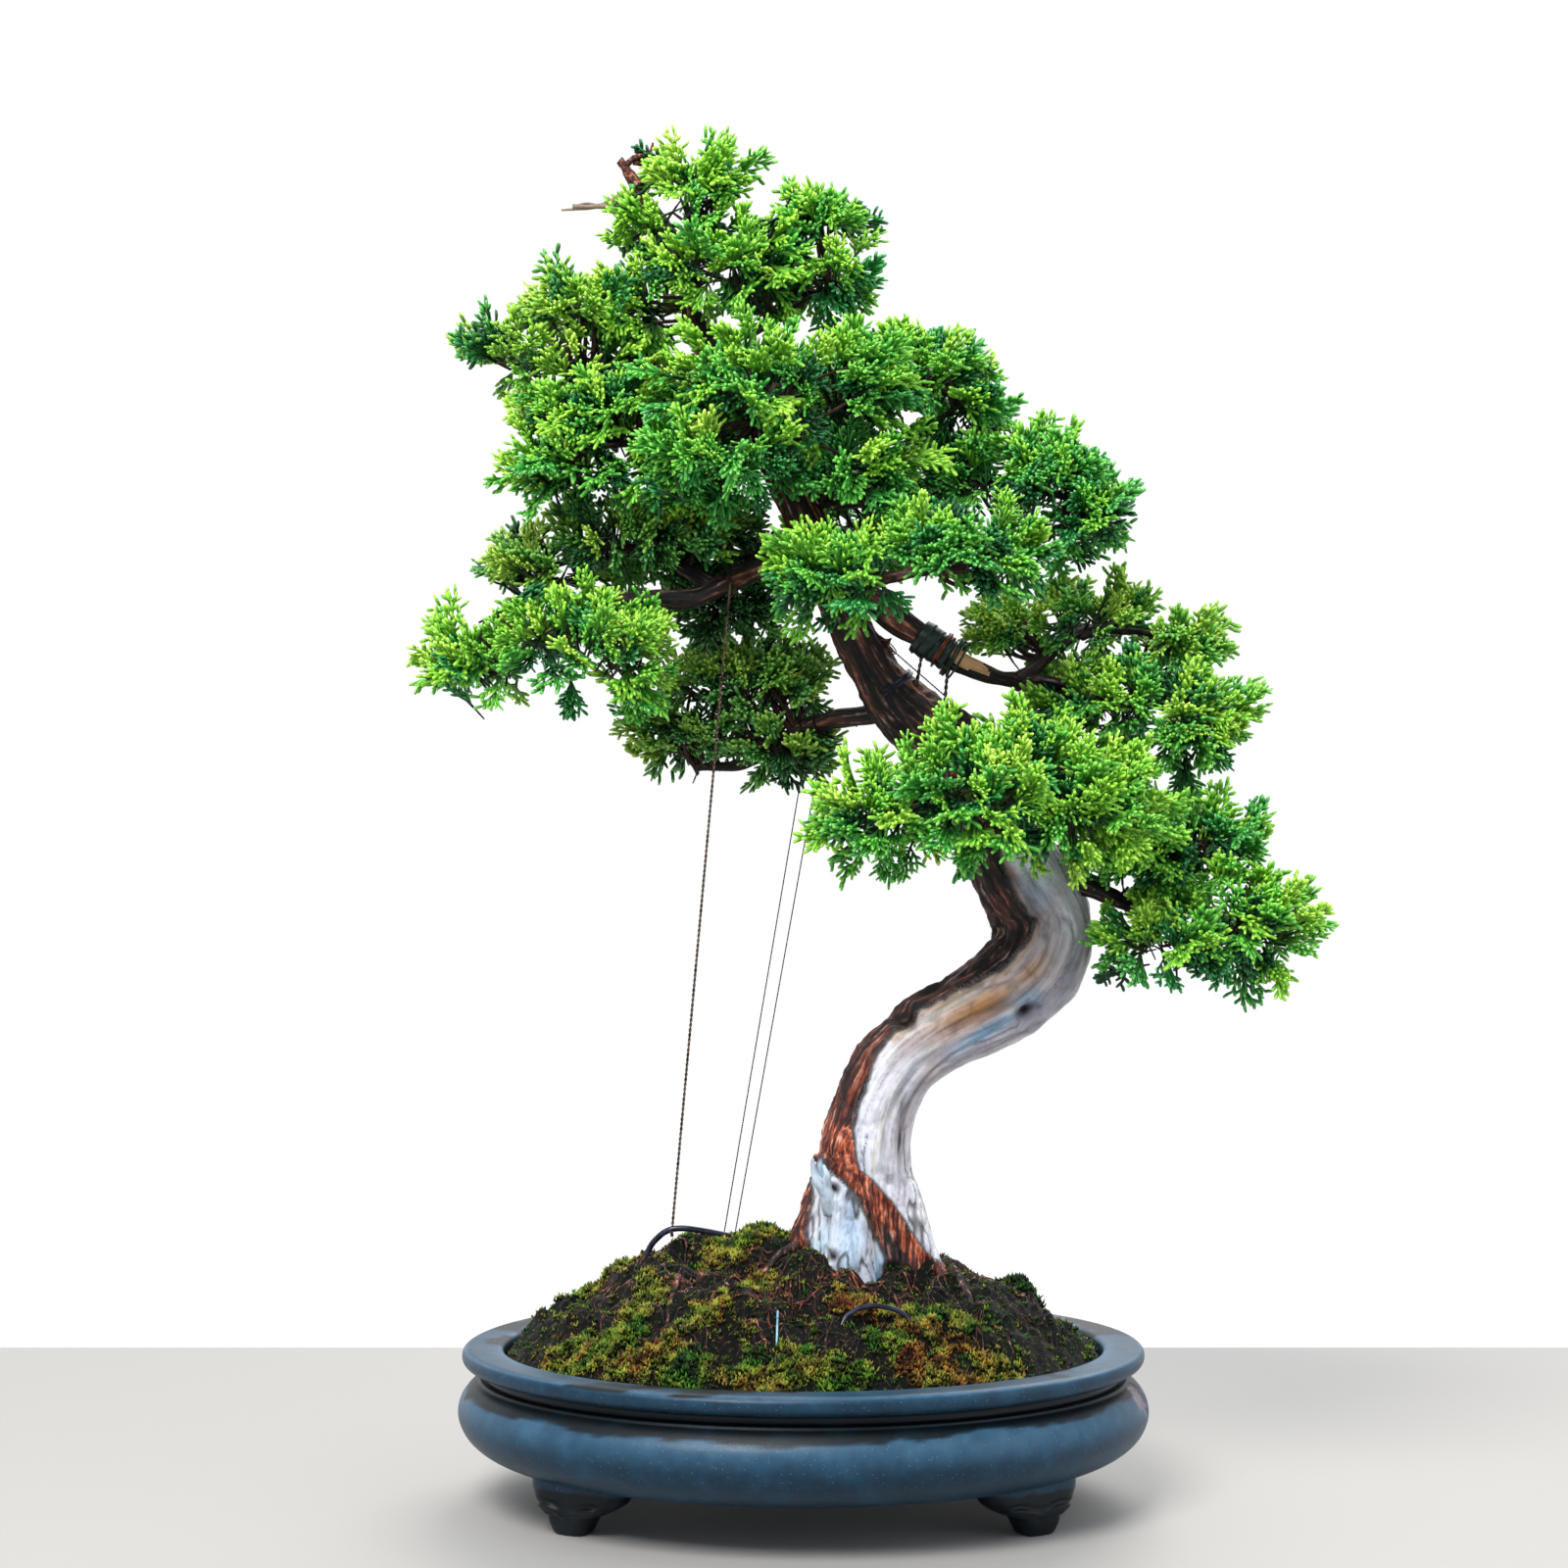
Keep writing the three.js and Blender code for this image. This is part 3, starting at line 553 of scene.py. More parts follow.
# Height, then the left and right sides of the dead front root, from the middle of the pot.
FRONT_ROOT = np.array([
    (92, 12, 31), (96, 12, 32.6), (108, 8, 37), (117, 3, 36), (127, 1.5, 32), (139, 3.5, 26),
    (147, 3, 21), (152, 2.5, 16), (157, 4, 10), (161, 8, 8),
])
# Height, then the right-hand edge of the strip of bark that passes over that root.
STRIP = np.array([(96, 78), (104, 70), (112, 60), (118, 54), (125, 49), (130, 46), (141, 38),
                  (150, 30), (155, 24), (165, 23), (176, 22)])

rise = beside[:, 2]
from_left = (trunk_angle + 90 + 180) % 360 - 180
across = np.linalg.norm(trunk_points - beside, axis=1)
ragged = (1.6 * lumps(trunk_points / 9, 3) + 0.8 * lumps(trunk_points / 3.5, 4))
to_front = np.interp(rise, VEIN[:, 0], VEIN[:, 1]) - from_left
to_back = np.interp(rise, VEIN[:, 0], VEIN[:, 2]) + from_left
vein = np.minimum(to_front, to_back) * math.pi / 180 * across + ragged
x_pot, z_pot = (trunk_points - FROM_POT)[:, 0], trunk_points[:, 2]
beside_root = np.maximum(x_pot - np.interp(z_pot, FRONT_ROOT[:, 0], FRONT_ROOT[:, 2]),
                         np.interp(z_pot, FRONT_ROOT[:, 0], FRONT_ROOT[:, 1]) - x_pot)
in_strip = np.interp(z_pot, STRIP[:, 0], STRIP[:, 1]) - x_pot
foot = np.minimum(np.where(z_pot > 161, 50, beside_root), in_strip) + 0.5 * ragged
in_front = smooth_step(0, 6, beside[:, 1] - trunk_points[:, 1]) * smooth_step(176, 168, z_pot)
inside_bark = vein * (1 - in_front) + foot * in_front
# A film of old bark still stains the bare wood beside the strip.
film = np.exp(-((x_pot - 37) / 6) ** 2 - ((z_pot - 149) / 10) ** 2) * in_front
film *= smooth_step(-0.1, 0.3, lumps(trunk_points / [2.4, 2.4, 5], 5))
barked = smooth_step(-0.7, 0.9, inside_bark)
print("bark covers", round(100 * barked.mean()), "percent of the trunk")

# %% [markdown]
# ## Carving the trunk
#
# The carving is a sum of small heights along the skin's normals. Bark gets strips and fibres, and
# dead wood gets fine grain, a few long cracks and some hollows where branches once were. Stains
# are soft patches at chosen places.

# %% Plan the carving
def grain_place(length, angle, across, squeeze):
    """A place round and along a limb, squeezed along it so that noise draws out into streaks."""
    turn = np.radians(angle)
    return np.stack([across * np.cos(turn), across * np.sin(turn), length / squeeze], axis=1)


def ridges(points, seed):
    """Sharp creases between soft lumps: 1 in a crease and 0 between."""
    return 1 - np.minimum(1, np.abs(lumps(points, seed)) * 3)


# Hollows on the front: x from the middle of the pot, height, width and depth.
HOLLOWS = [(101, 225, 4.0, 6.0), (46, 222, 4.2, 5.0), (13.5, 146, 2.4, 2.2), (12.5, 117, 2.2, 1.6),
           (39, 100, 4.5, 7.0), (39, 108, 3.4, 5.0)]
# Soft stains on the front: x, height, half sizes, turn in degrees and strength.
WARM_STAINS = [(80, 228, 34, 8, 28, 1.0), (110, 262, 4, 24, -14, 0.4), (102, 243, 16, 7, 50, 0.8),
               (30, 133, 4, 18, 25, 0.8), (58, 200, 20, 5, 50, 0.35), (45, 178, 5, 16, -10, 0.3)]
COOL_STAINS = [(83, 217, 22, 3.2, 32, 1.0), (101, 231, 9, 6, 20, 0.8), (44, 223, 9, 4, 35, 0.9),
               (8, 155, 5, 6, 0, 0.7), (21, 125, 8, 34, -4, 0.75), (5, 112, 4, 22, -20, 0.9),
               (33, 108, 3.5, 14, -5, 0.95), (47, 190, 4, 22, -18, 0.3),
               # The last cool patch, on the upper bend under the foliage, is painted shade: the
               # blue cast of shade there.
               (120, 240, 5, 18, -20, 0.4), (106, 282, 12, 14, 0, 0.45)]


def stain(patches):
    """How strongly soft patches cover each point of the trunk's front."""
    total = np.zeros(len(trunk_points))
    for x, z, wide, tall, turn, strength in patches:
        cos, sin = math.cos(math.radians(turn)), math.sin(math.radians(turn))
        across_patch = (x_pot - x) * cos + (z_pot - z) * sin
        up_patch = (z_pot - z) * cos - (x_pot - x) * sin
        spread = (across_patch / wide) ** 2 + (up_patch / tall) ** 2
        total = np.maximum(total, strength * np.exp(-spread))
    return total * smooth_step(-4, 4, beside[:, 1] - trunk_points[:, 1])


print("planned", len(HOLLOWS), "hollows and", len(WARM_STAINS) + len(COOL_STAINS), "stains")

# %% [markdown]
# ## Cutting the surface
#
# Everything planned so far comes together here. The skin is pushed in and out along its normals,
# and each point is marked with how stained, how shaded and how freshly peeled it is.

# %% Carve and colour the trunk
streaks = grain_place(trunk_length, trunk_angle, across, 1)
fine = streaks / [2.4, 2.4, 15]
broad = streaks / [6.5, 6.5, 42]
on_bark = (0.9 * lumps(streaks / [3.4, 3.4, 20], 11) + 0.45 * lumps(streaks / [1.9, 1.9, 9], 12)
           - 1.5 * ridges(streaks / [6, 6, 34], 13))
on_wood = 0.9 * lumps(broad, 14) + 0.42 * lumps(fine, 15) - 1.1 * ridges(broad * 1.1, 16) ** 3
on_wood -= 0.7 * ridges(fine / 1.6, 30) ** 4
lip = np.exp(-((inside_bark - 0.8) / 1.4) ** 2) * (rise < 312)
hollow = np.zeros(len(trunk_points))
ring = np.zeros(len(trunk_points))
depth = np.zeros(len(trunk_points))
facing = smooth_step(0.05, 0.45, -trunk_normals[:, 1])
for x, z, wide, deep in HOLLOWS:
    away = np.hypot(x_pot - x, z_pot - z) + 0.5 * lumps(trunk_points / 3, 17)
    hollow = np.maximum(hollow, facing * np.exp(-(away / wide) ** 2))
    depth = np.maximum(depth, facing * deep * np.exp(-(away / wide) ** 2))
    ring = np.maximum(ring, facing * np.exp(-((away - 1.8 * wide) / (0.6 * wide)) ** 2))
flaky = 0.5 * lumps(trunk_points / 2.6, 20) + 1.2 * lumps(trunk_points / 11, 26)
ring *= np.where(z_pot > 170, 1.5, 0.7)     # the rolled rims are thicker up in the bends
carved = barked * (0.9 + on_bark + flaky) + (1 - barked) * on_wood + 1.0 * lip + ring - depth
buried = smooth_step(93, 98, trunk_points[:, 2])
trunk_points = trunk_points + trunk_normals * (carved * buried)[:, None]
warm = np.maximum(stain(WARM_STAINS), 0.75 * np.exp(-((inside_bark + 2.2) / 2) ** 2) * (rise > 205))
cool = stain(COOL_STAINS)
crease = smooth_step(0.72, 0.98, ridges(broad * 1.1, 16)) * 0.35
crease = np.maximum(crease, smooth_step(0.8, 1.0, ridges(fine / 1.6, 30)) * 0.3)
root_grooves = smooth_step(0.6, 0.95, ridges(streaks / [4.2, 4.2, 90], 19)) * in_front * 0.9
edge_shade = smooth_step(-2.1, -0.7, inside_bark) * 0.92
shades = [hollow * 1.1, crease, edge_shade, root_grooves, 0.6 * film]
shade = np.clip(np.maximum.reduce(shades), 0, 1)
fresh = np.interp(rise, [92, 140, 156, 168, 182, 198, 300], [0.2, 0.42, 0.6, 0.48, 0.2, 0, -0.1])
fresh = fresh + 0.8 * in_front * (in_strip < 10) + 0.35 * lumps(streaks / [5, 5, 22], 18)
fresh = np.clip(fresh, 0, 1)
which = (barked[trunk_faces].mean(axis=1) < 0.5).astype(int)
make_piece("trunk_wood", trunk_points, [trunk_faces], [BARK, DEADWOOD], "trunk_wood",
           stands_for=["trunk"], which=which,
           marks={"grain": grain_place(trunk_length, trunk_angle, across, 12), "fresh": fresh,
                  "warm": warm, "cool": cool, "shade": shade})
print("trunk carved with", len(trunk_faces), "faces")

# %% [markdown]
# ## Branches
#
# In the frame each branch is a plain tapering bar. The line inside it is found by cutting the bar
# into slices by their distance from the thick end and taking the middle of each slice. Along that
# line a new limb is grown with knots, swellings, peeling strips and the stubs of old twigs.

# %% Measure the limbs
def random_skin(points, triangles, count, rng):
    """Random places spread evenly over a skin, and the direction out of it at each."""
    a, b, c = (points[triangles[:, k]] for k in range(3))
    cross = np.cross(b - a, c - a)
    area = np.linalg.norm(cross, axis=1)
    pick = rng.choice(len(area), count, p=area / area.sum())
    u, v = rng.random((2, count, 1))
    u, v = np.where(u + v > 1, 1 - u, u), np.where(u + v > 1, 1 - v, v)
    return a[pick] + u * (b - a)[pick] + v * (c - a)[pick], unit(cross[pick])


def spine(name, start_near, slices=9):
    """The line inside a limb of the frame and its radius, from the end nearest to start_near."""
    cloud, _ = random_skin(*read_node(name), 4000, np.random.default_rng(1))
    to_start = np.min([np.linalg.norm(cloud - place, axis=1) for place in start_near], axis=0)
    reach = np.linalg.norm(cloud - cloud[np.argmin(to_start)], axis=1)
    part = np.minimum((reach / reach.max() * slices).astype(int), slices - 1)
    line = np.array([cloud[part == k].mean(axis=0) for k in range(slices)])
    line[0] = 2 * line[1] - line[2]
    line[-1] = 2 * line[-2] - line[-3]
    along = unit(np.gradient(line, axis=0))
    offset = cloud - line[part]
    off_line = offset - (offset * along[part]).sum(axis=1)[:, None] * along[part]
    radius = np.linalg.norm(off_line, axis=1)
    radii = np.array([radius[part == k].mean() for k in range(slices)]) * 1.06
    radii[0] = radii[1] + (radii[1] - radii[2]) * 0.5
    radii[-1] = radii[-2] * 0.85
    return line, radii


print("limbs can be measured")

# %% [markdown]
# ## Growing a limb
#
# One function grows every limb, living or dead. The only things that differ are its finish, how
# fresh its bark is, and whether a patch of it has been stripped bare.

# %% Grow the branches
# Limbs default to bark without fresh strips, darker than the trunk's foot: old bark, and partly
# painted shade for limbs that sit under the pads.
def grow_limb(name, slot, material, rng, start_near, bare_patch=None, fresh=-0.1, sink=5.0):
    """A limb with natural bark or grain in place of one of the frame's bars."""
    line, radii = spine(name, start_near)
    line[0] -= unit(line[1] - line[0]) * sink
    length = np.linalg.norm(np.diff(line, axis=0), axis=1).sum()
    steps = int(length / 1.5)
    sides = int(np.clip(2 * math.pi * radii.max() / 1.2, 10, 44))
    path = curve_through(line, steps)
    for axis in range(3):
        path[:, axis] += 0.8 * lumps(path / 13 + axis * 7, 21)
    at = np.linspace(0, 1, steps)
    radius = np.interp(at, np.linspace(0, 1, len(radii)), radii)
    radius *= 1 + 0.14 * lumps(np.stack([at * length / 8, at * 0, at * 0], axis=1), len(name))
    radius *= 1 + 0.35 * np.exp(-at * length / 5)
    angle = np.tile(np.arange(sides) * 360 / sides, (steps, 1))
    grain = grain_place(np.repeat(at * length, sides), angle.ravel(), np.repeat(radius, sides), 1)
    scale = np.clip(radius / 5, 0.3, 1)[:, None]
    bumps = (0.55 * lumps(grain / [2.6, 2.6, 12], 22)
             - 0.9 * ridges(grain / [3.6, 3.6, 22], 23)).reshape(steps, sides)
    points, faces = tube(path, radius[:, None] + bumps * scale, sides)
    ends = np.array([[0, 0, 0], [0, 0, length]])
    grain = np.vstack([grain / [1, 1, 8], ends])
    count = len(points)
    bare = np.zeros(count)
    dead = float(material == DEADWOOD)
    if bare_patch is not None:
        place, half_length, half_width, tilt = bare_patch
        x, z = points[:, 0] - FROM_POT[0] - place[0], points[:, 2] - place[1]
        cos, sin = math.cos(math.radians(tilt)), math.sin(math.radians(tilt))
        along = (x * cos + z * sin) / half_length
        spread = along ** 2 + ((z * cos - x * sin) / (half_width * (1 - 0.5 * along))) ** 2
        middle = np.append(np.repeat(path[:, 1], sides), path[[0, -1], 1])
        bare = (spread + 0.35 * lumps(points / 4, 24) < 1) * (points[:, 1] < middle + 1.0)
    marks = {"grain": grain, "fresh": np.full(count, fresh) + 0.2 * lumps(points / 14, 25),
             "warm": np.maximum(bare, 0.7 * dead), "cool": np.zeros(count),
             "shade": np.full(count, 0.5 * dead)}
    stubs = [tube(*stub_line(path, radius, rng), 6) for _ in range(int(length / 22))]
    points, faces = gather([(points, faces)] + stubs)
    extra = len(points) - count
    for mark, values in marks.items():
        fill = np.repeat(values[:1] * 0 + (0.0 if values.ndim > 1 else values[0]), extra, axis=0)
        marks[mark] = np.concatenate([values, fill])
    marks["grain"][count:] = points[count:]
    bare = np.append(bare, np.zeros(extra))
    which = np.concatenate([bare[part].mean(axis=1) > 0.5 for part in faces]).astype(int)
    materials = [material, DEADWOOD]
    make_piece(name + "_wood", points, faces, materials, slot, stands_for=[name], marks=marks,
               which=which)
    return path, radius


def stub_line(path, radius, rng):
    """The line and radii of a short broken twig that stands on a limb."""
    i = rng.integers(4, len(path) - 3)
    direction = unit(rng.normal(0, 1, 3) + np.array([0, 0, 0.6]))
    tall = radius[i] + rng.uniform(1.0, 4.0)
    line = path[i] + direction * np.linspace(0, tall, 4)[:, None]
    return line, np.linspace(0.3, 0.14, 4) * min(radius[i], 4.5)


wood_rng = np.random.default_rng(7)
LIMB_NAMES = [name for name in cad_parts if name.startswith("branch_")
              and name != "branch_wrap"]
BARE = {"branch_right_wired": ((76, 385.5), 11.5, 5.2, -37)}
LIMBS = {}
for name in LIMB_NAMES:
    LIMBS[name] = grow_limb(name, "branch_bark", BARK, wood_rng, trunk_path[::6], BARE.get(name))
for name, skin in (("jin_apex", BARK), ("jin_crown_left", DEADWOOD)):
    LIMBS[name] = grow_limb(name, "trunk_wood", skin, wood_rng, trunk_path[::6], fresh=0.35,
                            sink=1.0)
print("grown", len(LIMBS), "limbs")

# %% [markdown]
# ## Broken twigs
#
# The old leader died and was snapped off, which left a dark forked stub at the crown. Below it a
# thin twig has lost its bark and sticks out to the left. At the foot of the trunk a pale snag
# stands on the dead front root. All three are drawn along short lines of their own.

# %% Grow the broken twigs
near_snag = (np.abs(x_pot - 9) < 2) & (np.abs(z_pot - 142) < 2)
SNAG_Y = (trunk_points - FROM_POT)[near_snag, 1].min()      # the front root's face at the snag
print("front root's face is at y", round(SNAG_Y, 1))
# Rows of x, y and z from the middle of the pot, with the radius at each end.
SNAPPED = {"root_snag": [([(13, SNAG_Y + 3, 136), (9.5, SNAG_Y - 0.5, 145), (5.5, SNAG_Y - 2, 152),
                           (4, SNAG_Y - 1.5, 160)], 4.6, 0.7),
                         ([(10, SNAG_Y, 146), (10.5, SNAG_Y - 2, 152), (9, SNAG_Y - 2.4, 157)],
                          3.0, 0.5)],
           "forked_stub": [([(-75, 0, 603), (-80, 0, 609), (-84.5, 0, 615)], 2.5, 2.0),
                           ([(-83, 0, 611), (-77, -1, 616), (-71, 0, 617.5), (-69, 0, 623)],
                            1.7, 0.5),
                           ([(-78, 0, 614), (-73, 1, 613), (-68, 1, 613.5)], 1.4, 0.5)],
           "bare_twig": [([(-82, 0, 600), (-88, 0, 596), (-97, -1, 593), (-111, 0, 592)],
                          1.7, 0.5),
                         ([(-94, 0, 594), (-99, 0, 595), (-104, 0, 594.5)], 0.8, 0.4)]}
for name, twigs in SNAPPED.items():
    parts = []
    for line, thick, thin in twigs:
        path = curve_through(np.array(line) + FROM_POT, 26)
        path[1:-1] += 0.3 * lumps(path[1:-1] / 3, 27)[:, None]
        parts.append(tube(path, np.linspace(thick, thin, 26), 9))
    points, faces = gather(parts)
    skin = BARK if name == "forked_stub" else DEADWOOD
    count = len(points)
    sunlit = name == "root_snag"
    make_piece(name, points, faces, [skin], "trunk_wood",
               marks={"grain": points / ([1, 1, 4] if sunlit else [1, 4, 1]),
                      "fresh": np.full(count, 0.3),
                      "warm": (0.1 if sunlit else 0.85) + 0.5 * lumps(points / 9, 28),
                      "cool": np.full(count, 0.5 if sunlit else 0.0),
                      "shade": (0.1 if sunlit else 0.4) + 0.4 * lumps(points / 6, 29)})
print("two broken twigs at the crown and a snag on the front root")

# %% [markdown]
# ## Juniper green
#
# The leaves of this juniper are tiny scales pressed flat along every shoot, so the eye sees soft
# green cords rather than needles. New tips are yellow-green, last year's growth is mid green, and
# what stands in shade has a blue cast. A thin waxy skin gives a small sheen. The colour follows
# three marks on the mesh. The first is how near a point is to its tip, with the base of each spray
# painted dark as painted shade inside the pad. The second is a tone that drifts from shoot to
# shoot, with painted shade in the deep layer of sprays and painted light on sprays that face up.
# The third is how olive a pad is, which also paints it darker as painted shade.

# %% Materials: scale leaves and young twigs
def make_scale_leaves():
    material, tree, shader = blank_material("juniper_scale_leaves")
    tip, tone, dull = (node(tree, "Attribute", {"attribute_name": mark}).outputs["Fac"]
                       for mark in ("tip", "tone", "dull"))
    place = node(tree, "TexCoord").outputs["Object"]
    scale_leaf = 1.1 * MM                   # length of one scale leaf
    scales = node(tree, "TexNoise", Vector=place, Scale=1 / scale_leaf, Detail=1.0)
    # Older growth is darker, and the low end of this ramp is near black: painted shade at the base
    # of each spray, deep in the pad.
    old = node(tree, "ValToRGB", {"stops": [
        (0.0, "030a05"), (0.22, "051b0d"), (0.45, "0b3010"), (0.7, "1b4a14"), (1.0, "366a1a"),
    ]}, Fac=tone)
    grown = node(tree, "ValToRGB", {"stops": [
        (0.0, "0e401d"), (0.22, "268239"), (0.45, "4cab38"), (0.7, "7dc332"), (1.0, "a9d848"),
    ]}, Fac=tone)
    new = node(tree, "ValToRGB", {"stops": [
        (0.0, "2a7a46"), (0.22, "6ccc74"), (0.45, "9fe05c"), (0.7, "c8ec55"), (1.0, "e2f574"),
    ]}, Fac=tone)
    inner = node(tree, "MapRange", Value=tip, _1=0.1, _2=0.6, _3=0.0, _4=1.0)
    outer = node(tree, "MapRange", Value=tip, _1=0.52, _2=0.95, _3=0.0, _4=1.0)
    green = node(tree, "Mix", MIX_COLOURS, Factor=inner, A=old, B=grown)
    green = node(tree, "Mix", MIX_COLOURS, Factor=outer, A=green, B=new)
    # Painted shade: the olive copy is also darker, for pads that sit in the tree's own shade.
    shaded_olive = node(tree, "HueSaturation", Color=green, Hue=0.455, Saturation=0.95,
                 Value=0.66)
    green = node(tree, "Mix", MIX_COLOURS, Factor=dull, A=green, B=shaded_olive)
    speckle = node(tree, "MapRange", Value=scales, _1=0.3, _2=0.7, _3=0.95, _4=1.5)
    green = node(tree, "HueSaturation", Color=green, Value=speckle)
    bumps = node(tree, "Bump", Strength=0.4, Distance=0.3 * MM, Height=scales)
    finish_shader(tree, shader, green, 0.42, bumps, Specular_IOR_Level=0.35)
    return material


SCALE_LEAVES = make_scale_leaves()
# A young twig is flaky and matt: brown bark that is only starting to peel.
YOUNG_TWIG = make_mottled("young_juniper_twig", 3, 4.0, [
    (0.3, "160b08"), (0.55, "3a2017"), (0.75, "6b3f2a"),
], 0.8, (0.6, 0.5))
print("leaf and twig materials ready")

# %% [markdown]
# ## One spray of shoots
#
# A juniper pad is built from one thing repeated: a spray. A short stem carries side shoots left
# and right, each side shoot carries a few blunt fingers, and all of them curl up a little. Each
# finger here is a four-sided spindle, swollen in the middle and blunt at the end, because at
# two millimetres thick that is all the shape the eye can find. A handful of different sprays is
# enough: turned and scaled at random, no two look alike.

# %% Make the sprays
SPRAY_KINDS = 10
STEM_LENGTH = 18.0
SIDE_SHOOTS = 8                             # on each stem
FINGER_RADIUS = 0.8


def finger(start, direction, length, radius, bow):
    """Points and faces of one blunt finger that bows towards bow."""
    side = unit(np.cross(direction, [0.31, 0.87, 0.38]))
    other = np.cross(direction, side)
    angle = np.arange(4) * math.pi / 2
    ring = np.cos(angle)[:, None] * side + np.sin(angle)[:, None] * other
    rows = [start + direction * length * at + bow * length * at ** 2 + ring * radius * wide
            for at, wide in ((0, 0.75), (0.6, 1.0), (0.92, 0.75))]
    points = np.vstack(rows + [(start + (direction + bow) * length)[None]])
    k = np.arange(4)
    nxt = (k + 1) % 4
    walls = [np.stack([k + row, nxt + row, nxt + row + 4, k + row + 4], axis=1) for row in (0, 4)]
    point = np.stack([k + 8, nxt + 8, np.full(4, 12)], axis=1)
    return points, [np.vstack(walls + [np.array([[3, 2, 1, 0]])]), point]


def make_spray(rng):
    """Points, faces and tip marks of one spray, growing along +Z and flat in X."""
    parts, tips = [], []

    def add(start, direction, length, radius, low, high, bow):
        parts.append(finger(start, direction, length, radius, bow))
        tips.append(np.repeat([low, (2 * low + high) / 3, (low + 4 * high) / 5, high],
                              [4, 4, 4, 1]))

    add(np.array([0, 0, -7.0]), np.array([0, 0, 1.0]), 8.0, 0.55, 0.0, 0.0, np.zeros(3))
    curl = np.array([rng.uniform(-0.15, 0.15), rng.uniform(-0.25, 0.25), 0])
    add(np.zeros(3), np.array([0, 0, 1.0]), STEM_LENGTH, 0.85, 0.0, 0.85, curl)
    for i in range(SIDE_SHOOTS):
        part = 0.22 + 0.7 * i / (SIDE_SHOOTS - 1)
        root = np.array([0, 0, STEM_LENGTH * part]) + curl * STEM_LENGTH * part ** 2
        sign = 1 if i % 2 else -1
        lean = math.radians(rng.uniform(34, 58) - 14 * part)
        twist = rng.uniform(-0.6, 0.6)
        heading = np.array([math.sin(lean) * math.cos(twist) * sign,
                            math.sin(lean) * math.sin(twist), math.cos(lean)])
        length = (12.0 - 6.4 * part) * rng.uniform(0.8, 1.2)
        bow = np.array([0, 0, 0.16]) + rng.normal(0, 0.08, 3)
        add(root, heading, length, 0.74, 0.05 + 0.3 * part, 0.9, bow)
        for j in range(4 if length > 8 else 3 if length > 6 else 2):
            at = 0.3 + 0.2 * j
            bend = math.radians(rng.uniform(28, 52)) * (1 if j % 2 else -1)
            cos, sin = math.cos(bend), math.sin(bend) * sign
            turned = unit(np.array([heading[0] * cos + heading[2] * sin,
                                    heading[1] + rng.uniform(-0.4, 0.4),
                                    heading[2] * cos - heading[0] * sin]))
            start = root + heading * length * at + bow * length * at ** 2
            add(start, turned, rng.uniform(3.2, 5.4), FINGER_RADIUS * rng.uniform(0.85, 1.2),
                0.3, rng.uniform(0.7, 1.0), np.array([0, 0, 0.15]))
    points, faces = gather(parts)
    return points, faces, np.concatenate(tips)


spray_rng = np.random.default_rng(11)
SPRAYS = [make_spray(spray_rng) for _ in range(SPRAY_KINDS)]
print("spray of", len(SPRAYS[0][0]), "points; kinds:", len(SPRAYS))

# %% [markdown]
# ## Pads of foliage
#
# The frame holds each pad as a plain cloud. Sprays are rooted a little way inside that cloud and
# grow outwards through its skin: thickly on top where the light falls, thinly underneath, where
# a gardener cleans the pad and bare twigs show. A second, deeper layer is given a dark tone,
# painted shade inside the pad, and closes most of the gaps, but not all, so light still sparkles
# through. Thin twigs run from the branch out to the sprays.

# %% Plan the pads
PAD_SPACING = 10.1                          # between neighbouring sprays on a pad's skin
# For each pad: how fresh it is, from 0 deep and blue to 1 yellow, how olive it is and how much
# painted shade darkens it (as pads in the tree's own shade are darker), and the share of its
# sprays that grow, which is less than 1 in an open pad.
PADS = {
    "crown": (0.66, 0.0, 0.8), "crown_right": (0.54, 0.0, 0.84),
    "left_upper": (0.60, 0.25, 0.9), "left_middle": (0.60, 0.0, 1.0),
    "center": (0.52, 0.0, 1.0), "right_top": (0.50, 0.0, 1.0), "right_upper": (0.38, 0.0, 0.88),
    "front_middle": (0.48, 0.0, 1.0), "left_large": (0.50, 0.55, 1.0),
    "left_tip": (0.60, 0.0, 1.0), "left_inner": (0.25, 0.7, 1.0), "left_low": (0.44, 0.6, 1.0),
    "right_back": (0.62, 0.35, 0.84), "right_middle": (0.50, 0.15, 1.0),
    "low_front": (0.62, 0.0, 1.0), "low_right_upper": (0.50, 0.0, 1.0),
    "low_right": (0.54, 0.0, 1.0), "back_upper": (0.45, 0.0, 1.0),
    "back_middle": (0.40, 0.0, 1.0), "back_low": (0.45, 0.0, 1.0),
}
LIVE_WOOD = [path for limb, (path, _) in LIMBS.items() if not limb.startswith("jin")]
WOOD_LINE = np.vstack(LIVE_WOOD + [trunk_path[CROWN_STEP:]])    # twigs spring from this line


print("planned", len(PADS), "pads")

# %% [markdown]
# ## Growing a pad
#
# Places are drawn at random over the pad's skin and thinned until none are crowded. Each place
# that is left gets a spray, rooted inside the pad and leaning out and a little upwards.

# %% Grow the pads
def thin_out(places, spacing):
    """The numbers of the places that are left when none may be nearer than spacing."""
    kept = []
    for i, place in enumerate(places):
        if not kept or ((places[kept] - place) ** 2).sum(axis=1).min() > spacing ** 2:
            kept.append(i)
    return np.array(kept)


